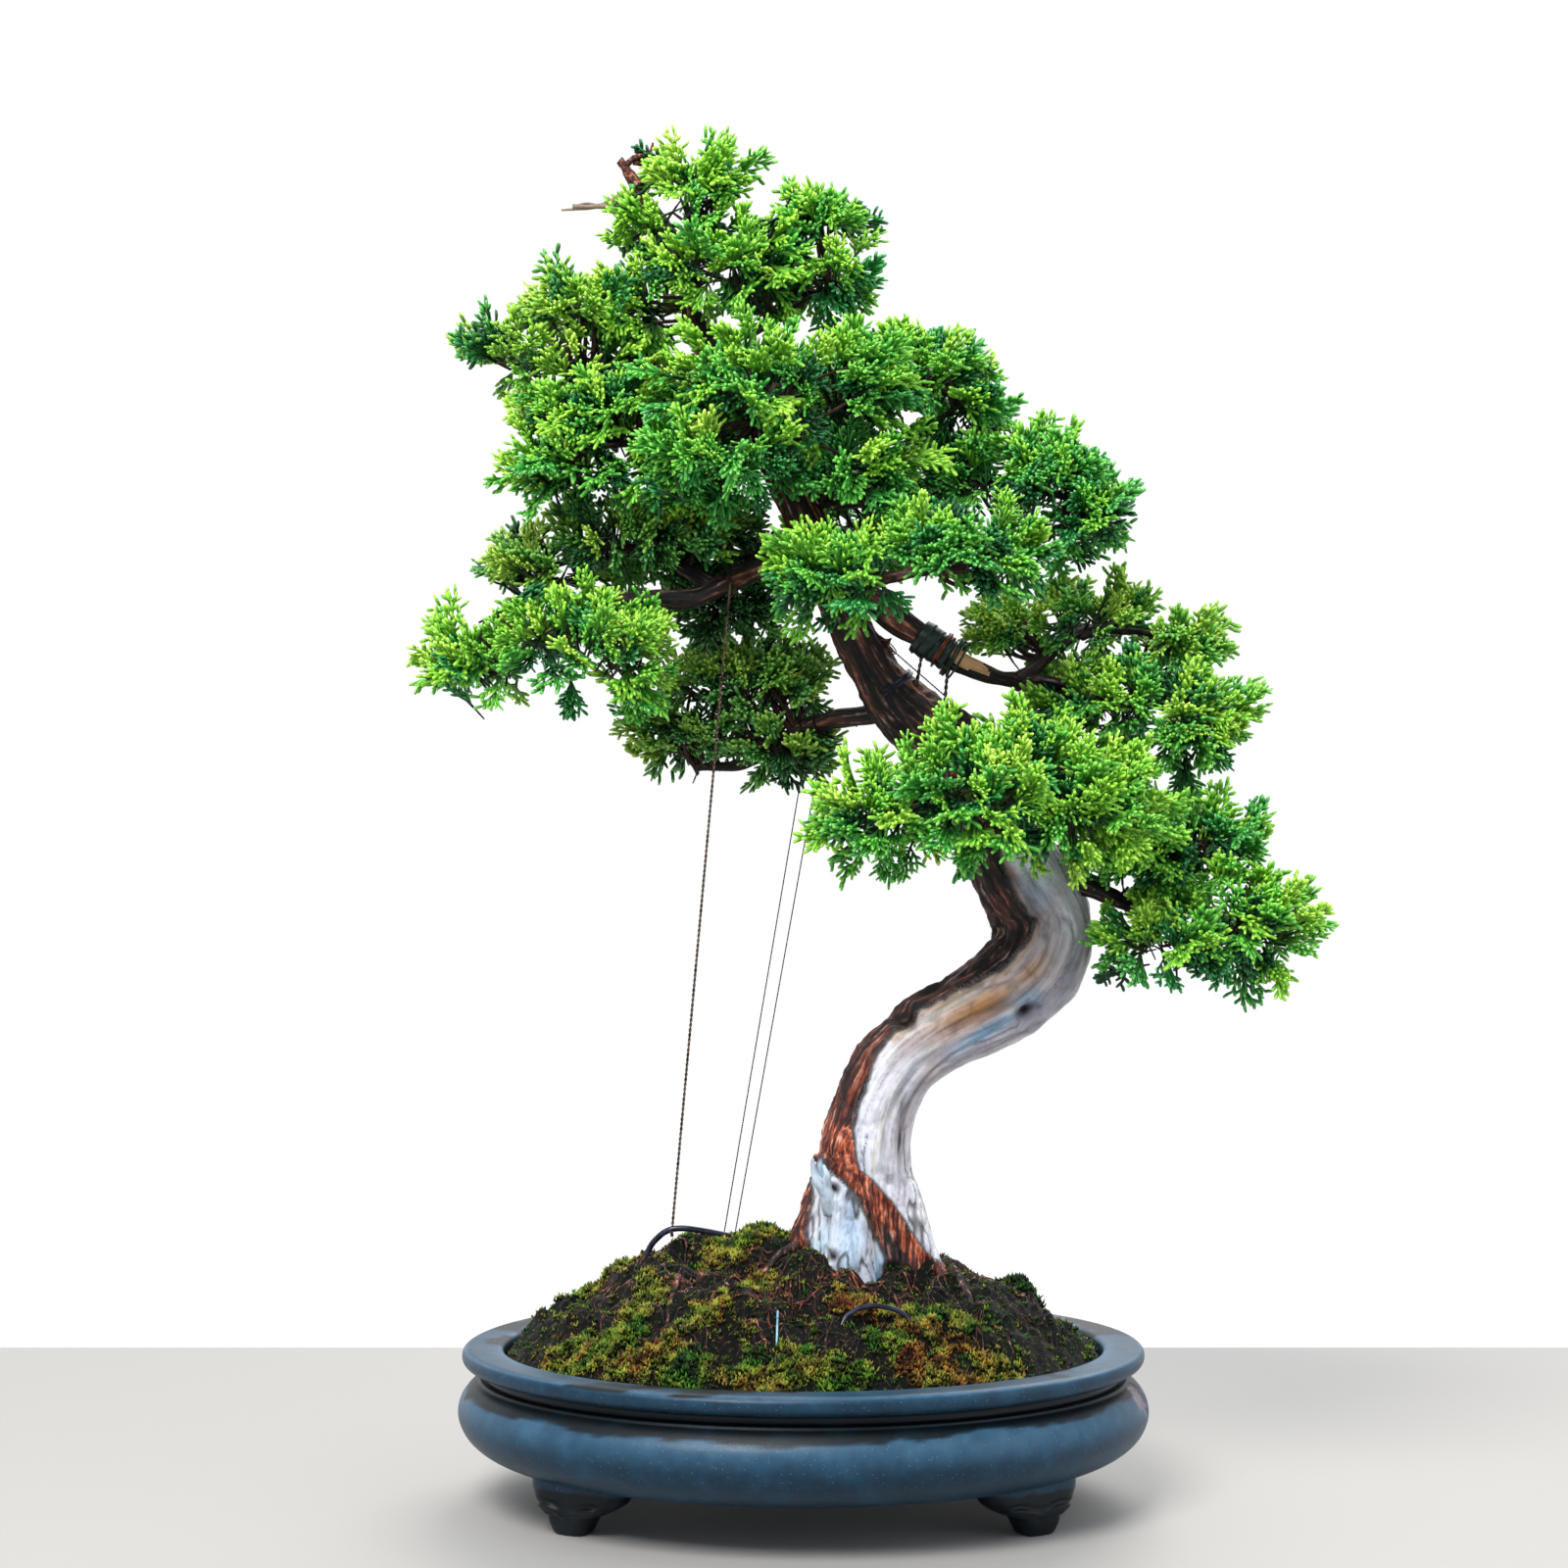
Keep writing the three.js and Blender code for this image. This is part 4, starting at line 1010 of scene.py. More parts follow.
def place_sprays(roots, headings, rolls, sizes, tones, kinds):
    """Copies of the sprays, each turned, scaled and moved to its root."""
    parts, tips, shades = [], [], []
    for root, heading, roll, size, tone, kind in zip(roots, headings, rolls, sizes, tones, kinds):
        side = unit(np.cross(heading, [0.05, 0.02, 1.0]))
        x_axis = math.cos(roll) * side + math.sin(roll) * np.cross(heading, side)
        turn = np.stack([x_axis, np.cross(heading, x_axis), heading])
        points, faces, tip = SPRAYS[kind]
        parts.append((points * size @ turn + root, faces))
        tips.append(tip)
        shades.append(np.full(len(tip), tone))
    points, faces = gather(parts)
    return points, faces, {"tip": np.concatenate(tips), "tone": np.concatenate(shades)}


def grow_pad(pad, rng):
    """The sprays and the bare twigs of one pad."""
    freshness, olive_pad_shading, share_grown = PADS[pad]
    points, triangles = read_node("foliage_" + pad)
    centre = points.mean(axis=0)
    edge = points[triangles]
    area = np.linalg.norm(np.cross(edge[:, 1] - edge[:, 0], edge[:, 2] - edge[:, 0]), axis=1) / 2
    places, normals = random_skin(points, triangles, int(area.sum() / PAD_SPACING ** 2 * 3), rng)
    kept = thin_out(places, PAD_SPACING * 0.8)
    places, normals = places[kept], normals[kept]
    in_view = (normals[:, 2] > -0.25) | (normals[:, 1] < -0.3)
    chance = np.where(in_view, 1.0, 0.6) * (lumps(places / 15, 31) > -0.40)
    kept = rng.random(len(places)) < chance * share_grown
    places, normals = places[kept], normals[kept]
    layers = []
    # The outer layer is rooted nearer the skin; the deeper one is sparse and has a dark tone,
    # painted shade inside the pad.
    for depth, spread, share, tone in ((16, 0.34, 1.0, freshness), (27, 0.55, 0.3, 0.1)):
        pick = rng.random(len(places)) < share
        skin, out = places[pick], normals[pick]
        count = len(skin)
        level = (skin - centre) * [1, 1, 0.3]
        heading = unit(out + 0.45 * unit(level) + np.array([0, 0, 0.26])
                       + rng.normal(0, spread, (count, 3)))
        inward = depth + rng.normal(0, 4.0, (count, 1))
        reach = 0.62 * np.linalg.norm(skin - centre, axis=1)[:, None]
        root = skin - out * np.minimum(inward, reach)
        # Sprays that face up get a fresher, brighter tone: painted light from above.
        drift = lumps(skin / 15, 32) * 0.26 + rng.normal(0, 0.13, count) + 0.14 * out[:, 2]
        # A spray lies flat to the sky, as leaves that share the light do.
        roll = rng.normal(0, 0.8, count)
        layers.append((root, heading, roll, rng.uniform(0.85, 1.2, count),
                       np.clip(tone + drift, 0.02, 0.98), rng.integers(0, SPRAY_KINDS, count)))
    joined = [np.concatenate(column) for column in zip(*layers)]
    points, faces, marks = place_sprays(*joined)
    marks["dull"] = np.full(len(points), olive_pad_shading)
    make_piece("shoots_" + pad, points, faces, [SCALE_LEAVES], "foliage",
               stands_for=["foliage_" + pad], marks=marks)
    grow_twigs(pad, joined[0], rng)
    return len(joined[0]), sum(len(part) * (part.shape[1] - 2) for part in faces)


def grow_twigs(pad, roots, rng):
    """Bare twigs from the nearest wood out to every few sprays."""
    parts = []
    for root in roots[::3]:
        near = WOOD_LINE[np.argmin(((WOOD_LINE - root) ** 2).sum(axis=1))]
        gap = np.linalg.norm(root - near)
        if 3 < gap < 75:
            middle = (near + root) / 2 + rng.normal(0, 0.08 * gap, 3) - [0, 0, 0.06 * gap]
            line = curve_through([near, middle, root], 8)
            parts.append(tube(line, np.linspace(1.3, 0.6, 8), 5))
    points, faces = gather(parts)
    make_piece("twigs_" + pad, points, faces, [YOUNG_TWIG], "branch_bark")


pad_rng = np.random.default_rng(100)
PAD_COUNTS = {pad: grow_pad(pad, pad_rng) for pad in PADS}
print("grown", sum(sprays for sprays, _ in PAD_COUNTS.values()), "sprays; most triangles in a pad:",
      max(triangles for _, triangles in PAD_COUNTS.values()), "; all:",
      sum(triangles for _, triangles in PAD_COUNTS.values()))

# %% [markdown]
# ## A stoneware pot, just watered
#
# The pot is dense grey-blue stoneware, pressed in a mould and fired without a glossy glaze. Dry,
# it is a soft satin with pale grog showing as specks. Water darkens it and makes it shine, so the
# wet shoulder under the rim and the wet feet are near black with sharp highlights. Three marks on
# the mesh say where it is wet, where it is chipped, and where it is painted paler: its rubbed
# edges, with painted highlight lines along them, and a painted sheen of the light from above on
# the upper belly.

# %% Material: slate-blue stoneware
def make_stoneware():
    material, tree, shader = blank_material("slate_blue_stoneware")
    wet, chip, worn = (node(tree, "Attribute", {"attribute_name": mark}).outputs["Fac"]
                       for mark in ("wet", "chip", "worn"))
    place = node(tree, "TexCoord").outputs["Object"]
    cloud = node(tree, "TexNoise", Vector=place, Scale=1 / (18 * MM), Detail=8.0, Roughness=0.72)
    grog = node(tree, "TexVoronoi", Vector=place, Scale=1 / (2.4 * MM))
    grit = node(tree, "TexNoise", Vector=place, Scale=1 / (0.8 * MM), Detail=2.0)
    clay = node(tree, "ValToRGB", {"stops": [
        (0.30, "07283a"), (0.48, "0e3247"), (0.60, "153d54"), (0.75, "204e66"),
    ]}, Fac=cloud)
    speck = node(tree, "MapRange", Value=grog, _1=0.10, _2=0.17, _3=0.32, _4=0.0)
    clay = node(tree, "Mix", MIX_COLOURS, Factor=speck, A=clay, B="6c8ba2")
    # Painted highlight and sheen: this mark pales the rubbed edges, the highlight lines along them
    # and the upper belly.
    clay = node(tree, "Mix", MIX_COLOURS, Factor=worn, A=clay, B="527f9c")
    soaked = node(tree, "ValToRGB", {"stops": [
        (0.3, "010709"), (0.5, "020e14"), (0.7, "061c25"),
    ]}, Fac=cloud)
    clay = node(tree, "Mix", MIX_COLOURS, Factor=wet, A=clay, B=soaked)
    broken = node(tree, "ValToRGB", {"stops": [
        (0.36, "54454a"), (0.50, "7d7077"), (0.68, "a89da6"),
    ]}, Fac=grit)
    clay = node(tree, "Mix", MIX_COLOURS, Factor=chip, A=clay, B=broken)
    satin = node(tree, "MapRange", Value=cloud, _1=0.35, _2=0.65, _3=0.3, _4=0.42)
    gloss = node(tree, "Mix", Factor=wet, A=satin, B=0.4)
    roughness = node(tree, "MapRange", Value=grit, _1=0.3, _2=0.7, _3=0.0, _4=0.1)
    gloss = node(tree, "Math", {"operation": "ADD"}, _0=gloss, _1=roughness)
    bumps = node(tree, "Bump", Strength=0.22, Distance=0.3 * MM, Height=grit)
    finish_shader(tree, shader, clay, gloss, bumps, Specular_IOR_Level=0.32)
    return material


STONEWARE = make_stoneware()
print("stoneware ready")

# %% [markdown]
# ## Throwing the pot
#
# The plan is an oval whose wall is the same width all round, so a ring that is half so long is
# less wide by a fixed inset. The section runs from the underside up the belly, in to the ledge and
# the groove, out round the rolled rim and down inside. The drain holes are drilled at the end.

# %% Shape the shell
POT_INSET = 29.0
ROUND_WITHIN = 60.0                         # nearer the axis than this the inset fades away
SHELL_SEGMENTS = 400                        # points round the shell
BELLY = [(104, 18.5), (116, 18.5), (133, 20.9), (145.5, 25.5), (154, 32.4), (157.8, 41),
         (156.6, 49), (152.4, 54.6), (148.6, 57.0)]
LEDGE = [(148.6, 57.0), (148.2, 58.0), (147.2, 58.3), (145.4, 58.5), (144.8, 60.2), (145.2, 61.9),
         (147.5, 62.7), (151.5, 63.2)]
RIM = [(151.5, 63.2), (154.6, 64.8), (156, 67.4), (155.6, 70.2), (153.4, 71.8), (150, 72),
       (141, 71.7), (138.2, 71.1), (137, 69.4), (137, 66), (138, 62)]
INSIDE = [(138, 62), (146, 50), (144, 36), (128, 29), (112, 27), (90, 27)]


def oval(half, angle):
    """The x and y of points on the oval ring that is half so long, at an angle round it."""
    wide = half - POT_INSET * np.minimum(1, half / ROUND_WITHIN)
    return half * np.cos(angle), wide * np.sin(angle)


def turn_oval(rows, segments):
    """Points and faces of a closed solid whose section is rows of (half length, height)."""
    half, height = np.asarray(rows, float).T
    angle = np.arange(segments) * 2 * math.pi / segments
    x, y = oval(half[:, None], angle[None])
    z = np.broadcast_to(height[:, None], x.shape)
    return skin_rings(np.stack([x, y, z], axis=2), [[0, 0, height[0]], [0, 0, height[-1]]])


shell_rows = np.vstack([np.linspace((30, 18.5), (98, 18.5), 6), curve_through(BELLY, 40)[:-1],
                        curve_through(LEDGE, 20)[:-1], curve_through(RIM, 44)[:-1],
                        curve_through(INSIDE, 26), np.linspace((80, 27), (30, 27), 5)])
shell_points, shell_faces = turn_oval(shell_rows, SHELL_SEGMENTS)
print("shell section has", len(shell_rows), "rows")

# %% [markdown]
# ## Cloud feet
#
# Four low feet stand at the corners, each cut like a small bank of cloud: wide where it meets the
# shell, drawn in by two scallops, with a raised edge along them, and flat where it stands.

# %% Shape the feet
FOOT_PLACE = (97.0, 64.0)                   # middle of a foot from the middle of the pot
FOOT_TURN = 0.5                             # radians that a foot is turned across the corner
FOOT_SIDES = 96                             # points round a foot
FOOT_ROWS = np.array([                      # height, half width, half depth
    (0, 6.8, 6.2), (0.8, 7.8, 7.1), (3, 9.0, 8.2), (6.5, 10.6, 9.4), (8.6, 11.4, 10.0),
    (9.6, 14.0, 10.8), (12.0, 18.0, 11.5), (15.2, 21.2, 11.9), (19, 22.8, 12), (23, 23, 12),
    (26, 23, 12),
])


def make_foot(x_sign, y_sign):
    """One foot: rounded blocks stacked up it, with lobes and a raised edge on its faces."""
    rows = curve_through(FOOT_ROWS, 56)
    angle = np.arange(FOOT_SIDES) * 2 * math.pi / FOOT_SIDES
    cos, sin = np.cos(angle), np.sin(angle)
    x = rows[:, 1:2] * np.sign(cos) * np.abs(cos) ** 0.6
    y = rows[:, 2:3] * np.sign(sin) * np.abs(sin) ** 0.6
    z = np.broadcast_to(rows[:, :1], x.shape)
    swell = 1 + 0.035 * np.cos(6 * angle)[None] * smooth_step(3, 9, z) * smooth_step(22, 16, z)
    scallop = 8.6 + 4.5 * np.abs(np.sin(x / 23 * math.pi))
    raised = 1 + 0.09 * np.exp(-((z - scallop) / 1.0) ** 2) - 0.09 * np.exp(
        -((z - scallop - 2.2) / 1.1) ** 2)
    # The toe stands a little towards the end of the pot.
    x = x * swell + 4.5 * x_sign * smooth_step(18, 4, z)
    grid = np.stack([x, y * swell * raised, z], axis=2).reshape(-1, 3)
    turn = -x_sign * y_sign * FOOT_TURN
    spun = grid @ np.array([[math.cos(turn), math.sin(turn), 0],
                            [-math.sin(turn), math.cos(turn), 0], [0, 0, 1]])
    spun += np.array([x_sign * FOOT_PLACE[0], y_sign * FOOT_PLACE[1], 0])
    rings = spun.reshape(*x.shape, 3)
    return skin_rings(rings, rings[[0, -1]].mean(axis=1))


print("a foot is drawn through", len(FOOT_ROWS), "rows")

# %% [markdown]
# ## Wear and water
#
# The shell is a little uneven, as pressed clay is, and an old chip has broken out of its shoulder.
# The rest is marks for the shader: where water stands, where edges have been rubbed pale with
# painted highlights along them, and a painted sheen on the upper belly.

# %% Join the pot and mark it
CHIP = np.array([150.5, -22.0, 50.5])       # an old chip on the right-hand shoulder
shell_points = shell_points + 0.3 * lumps(shell_points / 31, 41)[:, None] * unit(shell_points)
from_chip = (shell_points - CHIP) / [7.5, 12.0, 6.5]
from_chip = np.linalg.norm(from_chip, axis=1) + 0.3 * lumps(shell_points / 3.4, 42)
chip = smooth_step(1.05, 0.85, from_chip)
chip_depth = chip * (1.4 + 0.7 * lumps(shell_points / 2.2, 43))
shell_points = shell_points - unit(shell_points * [1, 1, 0]) * chip_depth[:, None]
shell_count = len(shell_points)
pot_points, pot_faces = gather([(shell_points, shell_faces)] + [
    make_foot(x_sign, y_sign) for x_sign in (-1, 1) for y_sign in (-1, 1)])
chip = np.append(chip, np.zeros(len(pot_points) - shell_count))
x, y, z = pot_points.T
out = np.hypot(x / 158, y / 129)            # 1 on the widest line of the belly
wave = 2.2 * lumps(np.stack([x / 26, y / 26, z * 0], axis=1), 44)
wave += 0.9 * lumps(np.stack([x / 8, y / 8, z * 0], axis=1), 45)
# Water stands on the shoulder, in patches on the rim, and on the feet.
shoulder = smooth_step(52.6, 53.8, z + wave) * smooth_step(62.5, 61.5, z) * (out > 0.8)
patches = lumps(np.stack([x / 34, y / 26, z / 60], axis=1), 46)
patches += 0.5 * lumps(np.stack([x / 8, y / 8, z / 9], axis=1), 47)
puddle = np.exp(-(((x + 40) / 62) ** 2 + ((y + 104) / 15) ** 2))
on_top = smooth_step(69.5, 71.2, z)
on_rim = smooth_step(0.30, 0.44, 0.8 * patches + 0.7 * puddle * on_top) * (0.35 + 0.6 * on_top)
on_rim *= smooth_step(62, 64, z)
on_feet = smooth_step(20.5, 19.0, z - 1.2 * lumps(pot_points / 7, 48))
wet = np.clip(np.maximum.reduce([shoulder, on_rim, on_feet]), 0, 1)
# Pale lines along the ledge and the rim's top: rubbed wear, and also painted highlights where those
# edges catch the light.
rubbed_highlit_edges = np.exp(-((z - 57.8) / 0.5) ** 2) * (out > 0.9) + 0.5 * np.exp(-((z - 71.3) / 0.5) ** 2)
# The upper belly is painted paler: a painted sheen of the light from above.
sheen_from_above = 0.34 * smooth_step(38, 50, z) * (z < 56) * (out > 0.8)
worn = (rubbed_highlit_edges + sheen_from_above) * (0.8 + 0.3 * lumps(pot_points / 4, 49))
worn = np.clip(worn, 0, 1) * (1 - 0.8 * wet)
pot_piece = make_piece("stoneware_pot", pot_points + FROM_POT, pot_faces, [STONEWARE], "stoneware",
                       stands_for=["pot"], marks={"wet": wet, "chip": chip, "worn": worn})


print("water covers", round(100 * wet.mean()), "percent of the pot's points")

# %% [markdown]
# ## Drain holes
#
# Two round holes let the water out through the floor, and a piece of plastic net over each keeps
# the soil in. The nets are the frame's own shapes with a new finish.

# %% Drill the drains
def drill_drains(piece, across, radius):
    """Cuts the two drain holes through the floor."""
    for sign in (-1, 1):
        middle = np.array([sign * across, 0, 23]) + FROM_POT
        rod, walls = tube([middle - [0, 0, 9], middle, middle + [0, 0, 9]], radius, 48)
        drill = bpy.data.meshes.new("drill")
        corners = [tuple(face) for part in walls for face in part]
        drill.from_pydata([tuple(point) for point in rod * MM], [], corners)
        tool = bpy.data.objects.new("drill", drill)
        bpy.context.scene.collection.objects.link(tool)
        cut = piece.modifiers.new("drain", "BOOLEAN")
        cut.operation = "DIFFERENCE"
        cut.solver = "EXACT"
        cut.object = tool
        graph = bpy.context.evaluated_depsgraph_get()
        drilled = bpy.data.meshes.new_from_object(piece.evaluated_get(graph))
        piece.modifiers.clear()
        piece.data = drilled
        bpy.data.objects.remove(tool)


drill_drains(pot_piece, across=62.0, radius=10.0)
print("pot has", len(pot_piece.data.polygons), "faces")


# The net over the drain holes is black moulded plastic, slightly rough and dusty with soil.
NET = make_mottled("black_polythene_net", 2, 4.0, [(0.4, "0c0c0d"), (0.7, "3a2f26")], 0.55,
                   (0.3, 0.2))
for name in ("drain_mesh_left", "drain_mesh_right"):
    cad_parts[name].data.materials.clear()
    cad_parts[name].data.materials.append(NET)
print("drain nets finished")

# %% [markdown]
# ## The mound of soil
#
# Old bonsai soil settles into a firm mound, held together by fine roots and skinned with moss.
# Its height follows the frame's mound, with clods, pits and grit added at three sizes, and it
# swells a little under each cushion of moss.

# %% Shape and colour the soil
SOIL_EDGE = 67.0                            # height of the soil at the pot's wall
MOUND_RISE = 45.0
MOUTH = (136.4, 107.4)                      # half sizes of the mouth that the soil fills
SOIL_SEGMENTS = 380                         # points round the mound
MOSS_NODES = ["moss_front_left", "moss_front_right", "moss_centre", "moss_top"]
# Cushions of moss: x, y, half sizes and tone, from 0 dark green through gold to 1 rust.
MOSS_SPOTS = np.array([
    (-70, -84, 22, 10, 0.70), (-49, -92, 11, 10, 0.27), (-84, -66, 14, 9, 0.36),
    (-108, -60, 16, 14, 0.50), (-9, -97, 32, 8, 0.52), (14, -99, 14, 6, 0.46),
    (58, -88, 24, 9, 0.72), (86, -80, 15, 8, 0.56), (26, -64, 19, 7, 0.66),
    (17, -67, 6, 5, 0.94), (54, -73, 20, 6, 0.66), (-33, -16, 16, 12, 0.58),
    (-70, -46, 10, 16, 0.64), (-42, -70, 9, 9, 0.58), (34, -84, 16, 7, 0.36),
    (62, -62, 14, 6, 0.38), (-20, -40, 10, 7, 0.55), (-36, 40, 30, 22, 0.45),
    (50, 60, 34, 22, 0.4), (100, 20, 8, 14, 0.1), (-90, 30, 18, 24, 0.5), (0, 84, 34, 14, 0.6),
])


def moss_cover(x, y):
    """How far a place is covered by moss, from 0 up, and which cushion is nearest."""
    spread = (((x[:, None] - MOSS_SPOTS[:, 0]) / MOSS_SPOTS[:, 2]) ** 2
              + ((y[:, None] - MOSS_SPOTS[:, 1]) / MOSS_SPOTS[:, 3]) ** 2)
    flat = np.stack([x, y, 0 * x], axis=1)
    patchy = 0.34 * lumps(flat / 8, 61) + 0.3 * lumps(flat / 3.4, 60)
    return np.exp(-spread.min(axis=1) * 0.8) + patchy, spread.argmin(axis=1)


def ground(x, y):
    """Height of the soil at places measured from the middle of the pot."""
    out = np.minimum(1, np.hypot(x / MOUTH[0], y / MOUTH[1]))
    hump = 7 * np.exp(-((x + 34) ** 2 + (y - 8) ** 2) / 34 ** 2) * (1 - out ** 4)
    hump += 5 * np.exp(-((x + 62) ** 2 + (y + 8) ** 2) / 17 ** 2)
    flat = np.stack([x, y, 0 * x], axis=1)
    clods = 6.0 * lumps(flat / 17, 51) + 2.8 * lumps(flat / 6.5, 52) + 1.3 * lumps(flat / 2.8, 53)
    clods -= 5.0 * ridges(flat / 21, 54) ** 2
    fade = smooth_step(1.0, 0.9, out)
    cushion = 3.2 * np.clip(moss_cover(x, y)[0], 0, 1) * fade
    height = SOIL_EDGE + MOUND_RISE * (1 - out ** 2.9) + hump + cushion
    return height + clods * (0.2 + 0.8 * fade)


def make_soil_material():
    """Damp soil: crumbs and fibres, nearly black, with a green film of algae in places."""
    material, tree, shader = blank_material("damp_soil_and_algae")
    place = node(tree, "TexCoord").outputs["Object"]
    crumbs = node(tree, "TexNoise", Vector=place, Scale=1 / (2.0 * MM), Detail=5.0, Roughness=0.7)
    film = node(tree, "TexNoise", Vector=place, Scale=1 / (12 * MM), Detail=5.0)
    soil = node(tree, "ValToRGB", {"stops": [
        (0.40, "010101"), (0.50, "050403"), (0.58, "171009"), (0.68, "7a5a3a"),
    ]}, Fac=crumbs)
    algae = node(tree, "ValToRGB", {"stops": [
        (0.38, "010201"), (0.50, "060c06"), (0.60, "18220d"), (0.70, "6a6f28"),
    ]}, Fac=crumbs)
    greener = node(tree, "MapRange", Value=film, _1=0.42, _2=0.58, _3=0.0, _4=0.85)
    colour = node(tree, "Mix", MIX_COLOURS, Factor=greener, A=soil, B=algae)
    gloss = node(tree, "MapRange", Value=film, _1=0.35, _2=0.65, _3=0.5, _4=0.9)
    bumps = node(tree, "Bump", Strength=1.0, Distance=1.6 * MM, Height=crumbs)
    finish_shader(tree, shader, colour, gloss, bumps, Specular_IOR_Level=0.2)
    return material


SOIL = make_soil_material()
ring_sizes = np.concatenate([np.linspace(2, MOUTH[0] - 1, 92), [MOUTH[0]]])
soil_rows = [(40, 44), (136, 44)] + [(size, 60.0) for size in ring_sizes[::-1]]
soil_points, soil_faces = turn_oval(soil_rows, SOIL_SEGMENTS)
is_top = soil_points[:, 2] > 50
soil_points[is_top, 2] = ground(soil_points[is_top, 0], soil_points[is_top, 1])
make_piece("soil_with_roots", soil_points + FROM_POT, soil_faces, [SOIL], "soil",
           stands_for=["soil_mound"])
print("soil rises to", round(soil_points[:, 2].max()), "mm")

# %% [markdown]
# ## Moss
#
# Moss is a crowd of tiny upright shoots. Each shoot here is a slim pyramid, and a handful that
# lean apart make a tuft. Its colour changes with water and light: dark green in shade, bright
# green where it drinks, then yellow-green, gold and rust as it dries along the sunny front edge.

# %% Plant the moss
def make_moss_material():
    """Moss leaves: pale at the tips and nearly black at the base, as painted shade between the
    shoots.
    """
    material, tree, shader = blank_material("cushion_moss_leaves")
    tip, tone = (node(tree, "Attribute", {"attribute_name": mark}).outputs["Fac"]
                 for mark in ("tip", "tone"))
    place = node(tree, "TexCoord").outputs["Object"]
    blotch = node(tree, "TexNoise", Vector=place, Scale=1 / (6 * MM), Detail=5.0, Roughness=0.65)
    leaf = node(tree, "ValToRGB", {"stops": [
        (0.0, "132c0d"), (0.28, "3f8222"), (0.48, "8ea42c"), (0.62, "b8b045"), (0.76, "a8822e"),
        (0.88, "8f5420"), (1.0, "7c3516"),
    ]}, Fac=tone)
    # Painted shade: the base of each shoot is nearly black, the shade between the shoots.
    base = node(tree, "HueSaturation", Color=leaf, Value=0.03)
    colour = node(tree, "Mix", MIX_COLOURS, Factor=tip, A=base, B=leaf)
    value = node(tree, "MapRange", Value=blotch, _1=0.42, _2=0.62, _3=0.14, _4=1.1)
    colour = node(tree, "HueSaturation", Color=colour, Value=value)
    finish_shader(tree, shader, colour, 0.6, Specular_IOR_Level=0.2)
    return material


TUFTS_TRIED = 52000                         # places that are tried; bare ones are passed over


def plant_moss(rng):
    """Tufts of moss over the mound, thick on the spots and thin between."""
    count = TUFTS_TRIED
    radius, angle = np.sqrt(rng.random(count)), rng.uniform(0, 2 * math.pi, count)
    x, y = radius * np.cos(angle) * MOUTH[0] * 0.985, radius * np.sin(angle) * MOUTH[1] * 0.985
    strength, nearest = moss_cover(x, y)
    keep = rng.random(count) < np.clip(2.2 * strength - 0.7, 0.05, 0.9)
    x, y, strength, nearest = x[keep], y[keep], strength[keep], nearest[keep]
    flat = np.stack([x, y, 0 * x], axis=1)
    tone = np.where(strength > 0.32, MOSS_SPOTS[nearest, 4], 0.3)
    tone = tone + 0.26 * lumps(flat / 6, 62) + rng.normal(0, 0.1, len(x))
    size = (0.65 + 0.4 * np.clip(strength, 0, 1)) * rng.uniform(0.7, 1.3, len(x))
    return np.stack([x, y, ground(x, y) - 0.4], axis=1), np.clip(tone, 0, 1), size


def moss_shoots(roots, tones, sizes, rng, per_tuft=4):
    """The pyramids of many tufts at once."""
    count = len(roots) * per_tuft
    lean = rng.normal(0, 0.42, (count, 3)) + [0, 0, 1.0]
    tall = np.repeat(sizes, per_tuft) * rng.uniform(1.7, 3.3, count)
    base = np.repeat(roots, per_tuft, axis=0) + rng.normal(0, 0.75, (count, 3)) * [1, 1, 0.2]
    tip = base + unit(lean) * tall[:, None]
    turn = rng.uniform(0, 2 * math.pi, count)[:, None] + np.arange(3) * 2 * math.pi / 3
    wide = (0.62 * np.repeat(sizes, per_tuft))[:, None, None]
    corners = np.stack([np.cos(turn), np.sin(turn), 0 * turn], axis=2) * wide
    ring = base[:, None] + corners
    middle = ring * 0.45 + 0.55 * tip[:, None] + corners * 0.35
    points = np.concatenate([ring, middle, tip[:, None]], axis=1).reshape(-1, 3)
    first = np.arange(count)[:, None] * 7
    walls = np.vstack([first + [k, (k + 1) % 3, (k + 1) % 3 + 3, k + 3] for k in range(3)])
    ends = np.vstack([first + [k + 3, (k + 1) % 3 + 3, 6] for k in range(3)] + [first + [2, 1, 0]])
    marks = {"tip": np.tile([0, 0, 0, 0.75, 0.75, 0.75, 1.0], count),
             "tone": np.repeat(tones, per_tuft * 7)}
    return points, [walls, ends], marks


MOSS = make_moss_material()
moss_rng = np.random.default_rng(61)
tuft_roots, tuft_tones, tuft_sizes = plant_moss(moss_rng)
cushion_middles = np.array([(read_node(name)[0].mean(axis=0) - FROM_POT)[:2]
                            for name in MOSS_NODES])
# Behind the trunk the frame has no cushions, and two pieces take up the tufts there.
cushion_middles = np.vstack([cushion_middles, [55, 45], [-45, 50]])
belongs = ((tuft_roots[:, None, :2] - cushion_middles) ** 2).sum(axis=2).argmin(axis=1)
for number, name in enumerate(MOSS_NODES + ["moss_back_right", "moss_back_left"]):
    mine = belongs == number
    points, faces, marks = moss_shoots(tuft_roots[mine], tuft_tones[mine], tuft_sizes[mine],
                                       moss_rng)
    make_piece(name + "_tufts", points + FROM_POT, faces, [MOSS], "moss",
               stands_for=[name] if name in MOSS_NODES else (), marks=marks)
print("planted", len(tuft_roots), "tufts of moss")

# %% [markdown]
# ## Roots on the surface
#
# Fine brown roots mat the mound, and a few thicker ones show where the soil has washed away. Each
# wanders downhill along the ground, half sunk in it.

# %% Lay the roots
FINE_ROOTS_TRIED = 720
ROOT_STEP = 2.5                             # length of one step of a root, in millimetres


